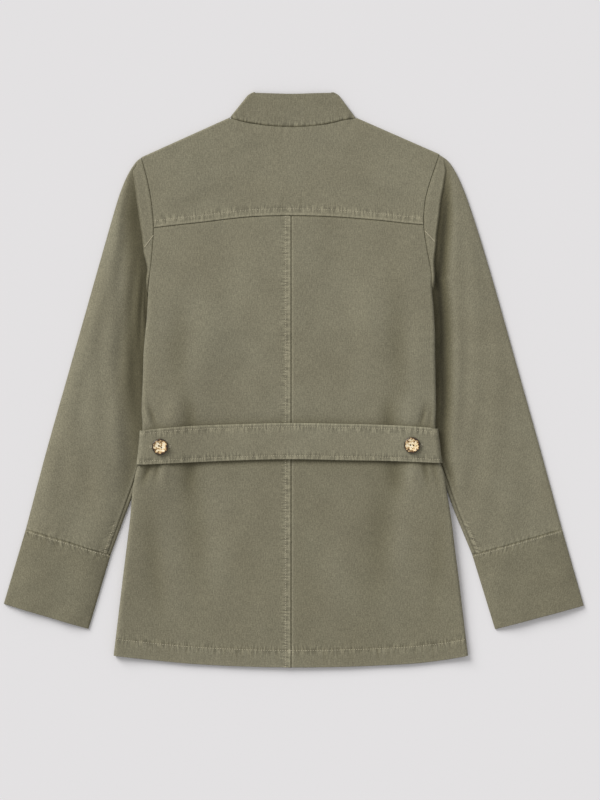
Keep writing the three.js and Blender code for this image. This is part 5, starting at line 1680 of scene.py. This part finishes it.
def thread_material(name, colour):
    """Mercerised cotton sewing thread, dyed with the garment: a shade lighter, faintly lustrous."""
    material, tree = blank_material(name)
    place = node(tree, "ShaderNodeTexCoord").outputs["Object"]
    # Plies of the thread are about 0.3 mm
    ply = node(tree, "ShaderNodeTexNoise", Vector=place, Scale=2600.0, Detail=1.0).outputs["Fac"]
    twist = tint(tree, ply, scaled_colour(colour, 0.86), scaled_colour(colour, 1.12))
    thread = node(tree, "ShaderNodeBsdfPrincipled", Base_Color=twist, Roughness=0.7, IOR=1.5,
                  Sheen_Weight=0.1)
    node(tree, "ShaderNodeOutputMaterial", Surface=thread.outputs[0])
    return material


def tortoiseshell_material(seat):
    """Cast polyester resin in tortoiseshell colours, turned and polished: glossy, honey and
    cream in the middle, with brown flecks and a dark rim."""
    material, tree = blank_material("Polished tortoiseshell resin")
    place = node(tree, "ShaderNodeTexCoord").outputs["Object"]
    centred = node(tree, "ShaderNodeVectorMath", {"operation": "SUBTRACT"},
                   {0: place, 1: seat * MM})
    distance = node(tree, "ShaderNodeVectorMath", {"operation": "LENGTH"},
                    {0: centred.outputs[0]})
    share = reckon(tree, "DIVIDE", distance.outputs["Value"], BUTTON_RADIUS * MM)
    # Flecks in such resin are about 3 mm across
    flecks = node(tree, "ShaderNodeTexNoise", Vector=place, Scale=380.0, Detail=2.0,
                  Roughness=0.6, Distortion=0.6).outputs["Fac"]
    pushed = reckon(tree, "MULTIPLY_ADD", flecks, 2.9, reckon(tree, "POWER", share, 6.0))
    spread = node(tree, "ShaderNodeMapRange", Value=pushed, From_Min=1.18, From_Max=2.24)
    ramp = node(tree, "ShaderNodeValToRGB", Fac=spread.outputs[0])
    stops = [(0.0, "#fdf0d4"), (0.3, "#efd8aa"), (0.5, "#cfa96f"), (0.62, "#8b673c"),
             (0.78, "#4b3520"), (1.0, "#2a1e12")]
    band = ramp.color_ramp
    band.elements[0].position, band.elements[0].color = stops[0][0], linear(stops[0][1])
    band.elements[1].position, band.elements[1].color = stops[-1][0], linear(stops[-1][1])
    for position, colour in stops[1:-1]:
        band.elements.new(position).color = linear(colour)
    resin = node(tree, "ShaderNodeBsdfPrincipled", Base_Color=ramp.outputs[0], Roughness=0.3,
                 IOR=1.54, Coat_Weight=0.12, Coat_Roughness=0.1)
    node(tree, "ShaderNodeOutputMaterial", Surface=resin.outputs[0])
    return material


def floor_material(colour):
    """Seamless studio paper: matt and very faintly uneven."""
    material, tree = blank_material("Seamless studio paper")
    place = node(tree, "ShaderNodeTexCoord").outputs["Object"]
    tooth = node(tree, "ShaderNodeTexNoise", Vector=place, Scale=3.0, Detail=2.0).outputs["Fac"]
    shade = tint(tree, tooth, scaled_colour(colour, 0.995), scaled_colour(colour, 1.005))
    paper = node(tree, "ShaderNodeBsdfPrincipled", Base_Color=shade, Roughness=1.0,
                 Specular_IOR_Level=0.0)
    node(tree, "ShaderNodeOutputMaterial", Surface=paper.outputs[0])
    return material


def shared_canvas():
    name = "Garment-dyed cotton canvas"
    return bpy.data.materials.get(name) or canvas_material(bpy.context.scene.jacket_cloth.canvas)


def shared_thread(name, colour):
    return bpy.data.materials.get(name) or thread_material(name, colour)


# Settings


class JacketCloth(bpy.types.PropertyGroup):
    wall: bpy.props.FloatProperty(
        name="Canvas", description="Thickness of one layer of canvas with its turnings",
        default=CLOTH * MM, min=0.0005, unit="LENGTH")
    collar_wall: bpy.props.FloatProperty(
        name="Collar", description="Thickness of the stand collar, two layers and stiffening",
        default=1.6 * MM, min=0.0005, unit="LENGTH")
    belt_wall: bpy.props.FloatProperty(
        name="Half belt", description="Thickness of the half belt, folded double",
        default=2.0 * MM, min=0.0005, unit="LENGTH")
    canvas: bpy.props.FloatVectorProperty(
        name="Canvas colour", description="Colour of the dyed canvas",
        default=linear("#827d69")[:3], subtype="COLOR", min=0, max=1)


class JacketSewing(bpy.types.PropertyGroup):
    pitch: bpy.props.FloatProperty(
        name="Pitch", description="Distance from one stitch to the next",
        default=0.0031, min=0.001, unit="LENGTH")
    stitch: bpy.props.FloatProperty(
        name="Stitch", description="Length of one stitch on the face of the cloth",
        default=0.0023, min=0.0005, unit="LENGTH")
    thread: bpy.props.FloatProperty(
        name="Thread", description="Thickness of the topstitching thread",
        default=0.0008, min=0.0002, unit="LENGTH")
    colour: bpy.props.FloatVectorProperty(
        name="Thread colour", description="Colour of the topstitching thread",
        default=linear("#b3ab92")[:3], subtype="COLOR", min=0, max=1)
    seed: bpy.props.IntProperty(
        name="Seed", description="Changes how uneven stitches fall", default=7, min=0)


class JacketStage(bpy.types.PropertyGroup):
    floor: bpy.props.FloatVectorProperty(
        name="Paper", description="Colour of the surface that the jacket lies on",
        default=(0.80, 0.785, 0.793), subtype="COLOR", min=0, max=1)
    key: bpy.props.FloatProperty(
        name="Key light", description="Strength of the soft light from the upper left",
        default=2.7, min=0)
    fill: bpy.props.FloatProperty(
        name="Fill light", description="Strength of the light from all round", default=0.54, min=0)
    height: bpy.props.FloatProperty(
        name="Camera height", description="Distance from the camera to the surface",
        default=2.894, min=1, unit="LENGTH")


# Operators


class JACKET_OT_stage(bpy.types.Operator):
    """Lays the paper, sets the lights and the camera straight above"""

    bl_idname = "jacket.stage"
    bl_label = "Stage"

    def execute(self, context):
        stage = context.scene.jacket_stage
        bpy.ops.mesh.primitive_plane_add(size=FLOOR_SIZE, location=(0, 0, FLOOR_Z))
        floor = context.object
        floor.name = "studio_paper"
        floor.data.materials.append(floor_material(stage.floor))
        key_data = bpy.data.lights.new("Key", "SUN")
        key_data.energy = stage.key
        key_data.angle = math.radians(KEY_SIZE)
        key = linked("Key", key_data)
        key.rotation_euler = Vector(KEY_WAY).to_track_quat("-Z", "Y").to_euler()
        world = bpy.data.worlds.new("Studio")
        world.use_nodes = True
        background = world.node_tree.nodes["Background"].inputs
        background["Strength"].default_value = stage.fill
        background["Color"].default_value = (1, 1, 1, 1)
        context.scene.world = world
        camera_data = bpy.data.cameras.new("Camera")
        camera_data.lens = CAMERA_LENS
        camera_data.sensor_width = CAMERA_SENSOR
        camera = linked("Camera", camera_data)
        camera.location = (*CAMERA_PLACE, stage.height)
        context.scene.camera = camera
        context.scene.view_settings.view_transform = "Standard"
        context.scene.view_settings.look = "None"
        return {"FINISHED"}


class JACKET_OT_body(bpy.types.Operator):
    """Makes the two back panels and the yoke"""

    bl_idname = "jacket.body"
    bl_label = "Back and yoke"

    def execute(self, context):
        wall = context.scene.jacket_cloth.wall / MM
        for side, width, area in ((LEFT, 0.255, 0.124), (RIGHT, 0.245, 0.121)):
            points, tone, keep = back_grid(side)
            name = f"back_{side.name}"
            tone = tone * (0.995 if side is LEFT else 0.98)
            panel = shell(f"{name}_cloth", points, wall, tone, keep=keep, sewn=body_seams())
            declare(panel, name)
        points, tone, keep = yoke_grid()
        yoke = shell("yoke_cloth", points, wall, tone, keep=keep, sewn=body_seams())
        declare(yoke, "yoke")
        return {"FINISHED"}


class JACKET_OT_collar(bpy.types.Operator):
    """Makes the stand collar, folded flat at both sides"""

    bl_idname = "jacket.collar"
    bl_label = "Stand collar"

    def execute(self, context):
        wall = context.scene.jacket_cloth.collar_wall / MM
        points, tone = collar_grid(wall)
        collar = shell("collar_cloth", points, wall, tone, sewn=[neck_line()])
        declare(collar, "collar")
        return {"FINISHED"}


class JACKET_OT_fronts(bpy.types.Operator):
    """Makes the two fronts, lapped on the surface below the back"""

    bl_idname = "jacket.fronts"
    bl_label = "Fronts"

    def execute(self, context):
        wall = context.scene.jacket_cloth.wall / MM
        for side in (LEFT, RIGHT):
            name = f"front_{side.name}"
            front = shell(f"{name}_cloth", front_grid(side), wall, 0.97)
            declare(front, name)
        return {"FINISHED"}


class JACKET_OT_sleeves(bpy.types.Operator):
    """Makes the two-piece sleeves, flattened at both sides of the body"""

    bl_idname = "jacket.sleeves"
    bl_label = "Sleeves"

    def execute(self, context):
        wall = context.scene.jacket_cloth.wall / MM
        for side in (LEFT, RIGHT):
            lean = side.sign * SLEEVE_LEAN
            name = f"sleeve_top_{side.name}"
            points, tone = sleeve_top_grid(side)
            top = shell(f"{name}_cloth", points, wall, tone, lean=lean, sewn=sleeve_seams(side))
            declare(top, name)
            name = f"sleeve_under_{side.name}"
            points, tone = sleeve_under_grid(side)
            under = shell(f"{name}_cloth", points, wall, tone * 0.98, lean=lean)
            declare(under, name)
        return {"FINISHED"}


class JACKET_OT_cuffs(bpy.types.Operator):
    """Makes the wide plain cuffs"""

    bl_idname = "jacket.cuffs"
    bl_label = "Cuffs"

    def execute(self, context):
        wall = context.scene.jacket_cloth.wall / MM
        for side in (LEFT, RIGHT):
            points, tone = cuff_grid(side)
            cuff = shell(f"cuff_{side.name}_cloth", points, wall, tone, closed=True,
                         lean=side.sign * SLEEVE_LEAN, sewn=sleeve_seams(side))
            declare(cuff, f"cuff_{side.name}")
        return {"FINISHED"}


class JACKET_OT_half_belt(bpy.types.Operator):
    """Makes the half belt, which draws in the back at the waist"""

    bl_idname = "jacket.half_belt"
    bl_label = "Half belt"

    def execute(self, context):
        wall = context.scene.jacket_cloth.belt_wall / MM
        points, tone = belt_grid(wall)
        belt = shell("half_belt_cloth", points, wall, tone, sewn=belt_seams(wall))
        declare(belt, "half_belt")
        return {"FINISHED"}


class JACKET_OT_buttons(bpy.types.Operator):
    """Makes the two tortoiseshell buttons on the half belt"""

    bl_idname = "jacket.buttons"
    bl_label = "Buttons"

    def execute(self, context):
        wall = context.scene.jacket_cloth.belt_wall / MM
        for side, x, y, turn in zip((LEFT, RIGHT), *BUTTONS.columns.values()):
            name = f"button_{side.name}"
            button, seat = build_button(f"{name}_resin", x, y, turn, wall)
            button.data.materials.clear()
            button.data.materials.append(tortoiseshell_material(seat))
            on_body(button, name)
        return {"FINISHED"}


class JACKET_OT_sewing(bpy.types.Operator):
    """Sews the topstitching and the buttonholes"""

    bl_idname = "jacket.sewing"
    bl_label = "Topstitching and buttonholes"

    def execute(self, context):
        sewing = context.scene.jacket_sewing
        wall = context.scene.jacket_cloth.belt_wall / MM
        thread = shared_thread("Cotton topstitching thread", sewing.colour)
        sizes = {"pitch": sewing.pitch, "stitch_length": sewing.stitch,
                 "thread_thickness": sewing.thread, "seed": sewing.seed}
        sew("body_topstitching", body_seams(), thread, **sizes)
        sew("belt_topstitching", belt_seams(wall), thread, **sizes)
        sew("sleeve_topstitching", sleeve_seams(LEFT) + sleeve_seams(RIGHT), thread, **sizes)
        sew("sleeve_back_seams", [head_seam(LEFT), head_seam(RIGHT)], thread, pitch=0.0012,
            stitch_length=0.0022, thread_thickness=0.0011, seed=sewing.seed)
        pale = shared_thread("Pale buttonhole thread", linear("#b9b29a"))
        holes = []
        for x, y, _ in zip(*BUTTONS.columns.values()):
            side = LEFT if x < CENTRE else RIGHT
            for offset in (-BUTTONHOLE_HALF, BUTTONHOLE_HALF):
                along = np.linspace(-BUTTONHOLE_LENGTH / 2, BUTTONHOLE_LENGTH / 2, 30)
                height = belt_height(side, x + along, y, wall)
                holes.append(on_top(x + along, np.full(30, y + offset), height, wall))
        sew("buttonhole_stitches", holes, pale, pitch=0.0006, stitch_length=0.0019,
            thread_thickness=0.0005, turn=math.radians(90), seed=sewing.seed)
        strands = []
        for x, y, turn in zip(*BUTTONS.columns.values()):
            seat, normal = button_place(x, y, wall)
            across = Vector((math.cos(math.radians(turn)), math.sin(math.radians(turn)), 0))
            for end in (-1, 1):
                foot = seat + across * end * BUTTON_HOLE_SPACING / 2
                ends = [foot + normal * BUTTON_HEIGHT * h for h in (0.1, 0.42)]
                strands.append(np.array(ends))
        # Dark brown thread, darkened further as painted shade in the button holes
        brown = shared_thread("Brown button thread", linear("#33240f"))
        sew("button_threads", strands, brown, pitch=0.0006, stitch_length=0.0012,
            thread_thickness=0.0017, seed=sewing.seed)
        return {"FINISHED"}


class JACKET_PT_panel(bpy.types.Panel):
    """Lists the jacket's sizes and makes its pieces"""

    bl_label = "Utility Jacket"
    bl_idname = "JACKET_PT_panel"
    bl_space_type = "VIEW_3D"
    bl_region_type = "UI"
    bl_category = "Jacket"

    def draw(self, context):
        layout = self.layout
        for settings in SETTINGS:
            group = getattr(context.scene, settings)
            for name in group.bl_rna.properties.keys():
                if name not in ("rna_type", "name"):
                    layout.prop(group, name)
        for operator in OPERATORS:
            layout.operator(operator.bl_idname)


OPERATORS = (
    JACKET_OT_stage,
    JACKET_OT_body,
    JACKET_OT_collar,
    JACKET_OT_fronts,
    JACKET_OT_sleeves,
    JACKET_OT_cuffs,
    JACKET_OT_half_belt,
    JACKET_OT_buttons,
    JACKET_OT_sewing,
)
SETTINGS = {"jacket_cloth": JacketCloth, "jacket_sewing": JacketSewing, "jacket_stage": JacketStage}


def register():
    for cls in (*SETTINGS.values(), *OPERATORS, JACKET_PT_panel):
        bpy.utils.register_class(cls)
    for name, group in SETTINGS.items():
        setattr(bpy.types.Scene, name, bpy.props.PointerProperty(type=group))


def unregister():
    for name in SETTINGS:
        delattr(bpy.types.Scene, name)
    for cls in reversed((*SETTINGS.values(), *OPERATORS, JACKET_PT_panel)):
        bpy.utils.unregister_class(cls)


def main():
    register()
    bpy.ops.jacket.stage()
    bpy.ops.jacket.collar()
    bpy.ops.jacket.fronts()
    bpy.ops.jacket.body()
    bpy.ops.jacket.sleeves()
    bpy.ops.jacket.cuffs()
    bpy.ops.jacket.half_belt()
    bpy.ops.jacket.buttons()
    bpy.ops.jacket.sewing()


if __name__ == "__main__":
    main()
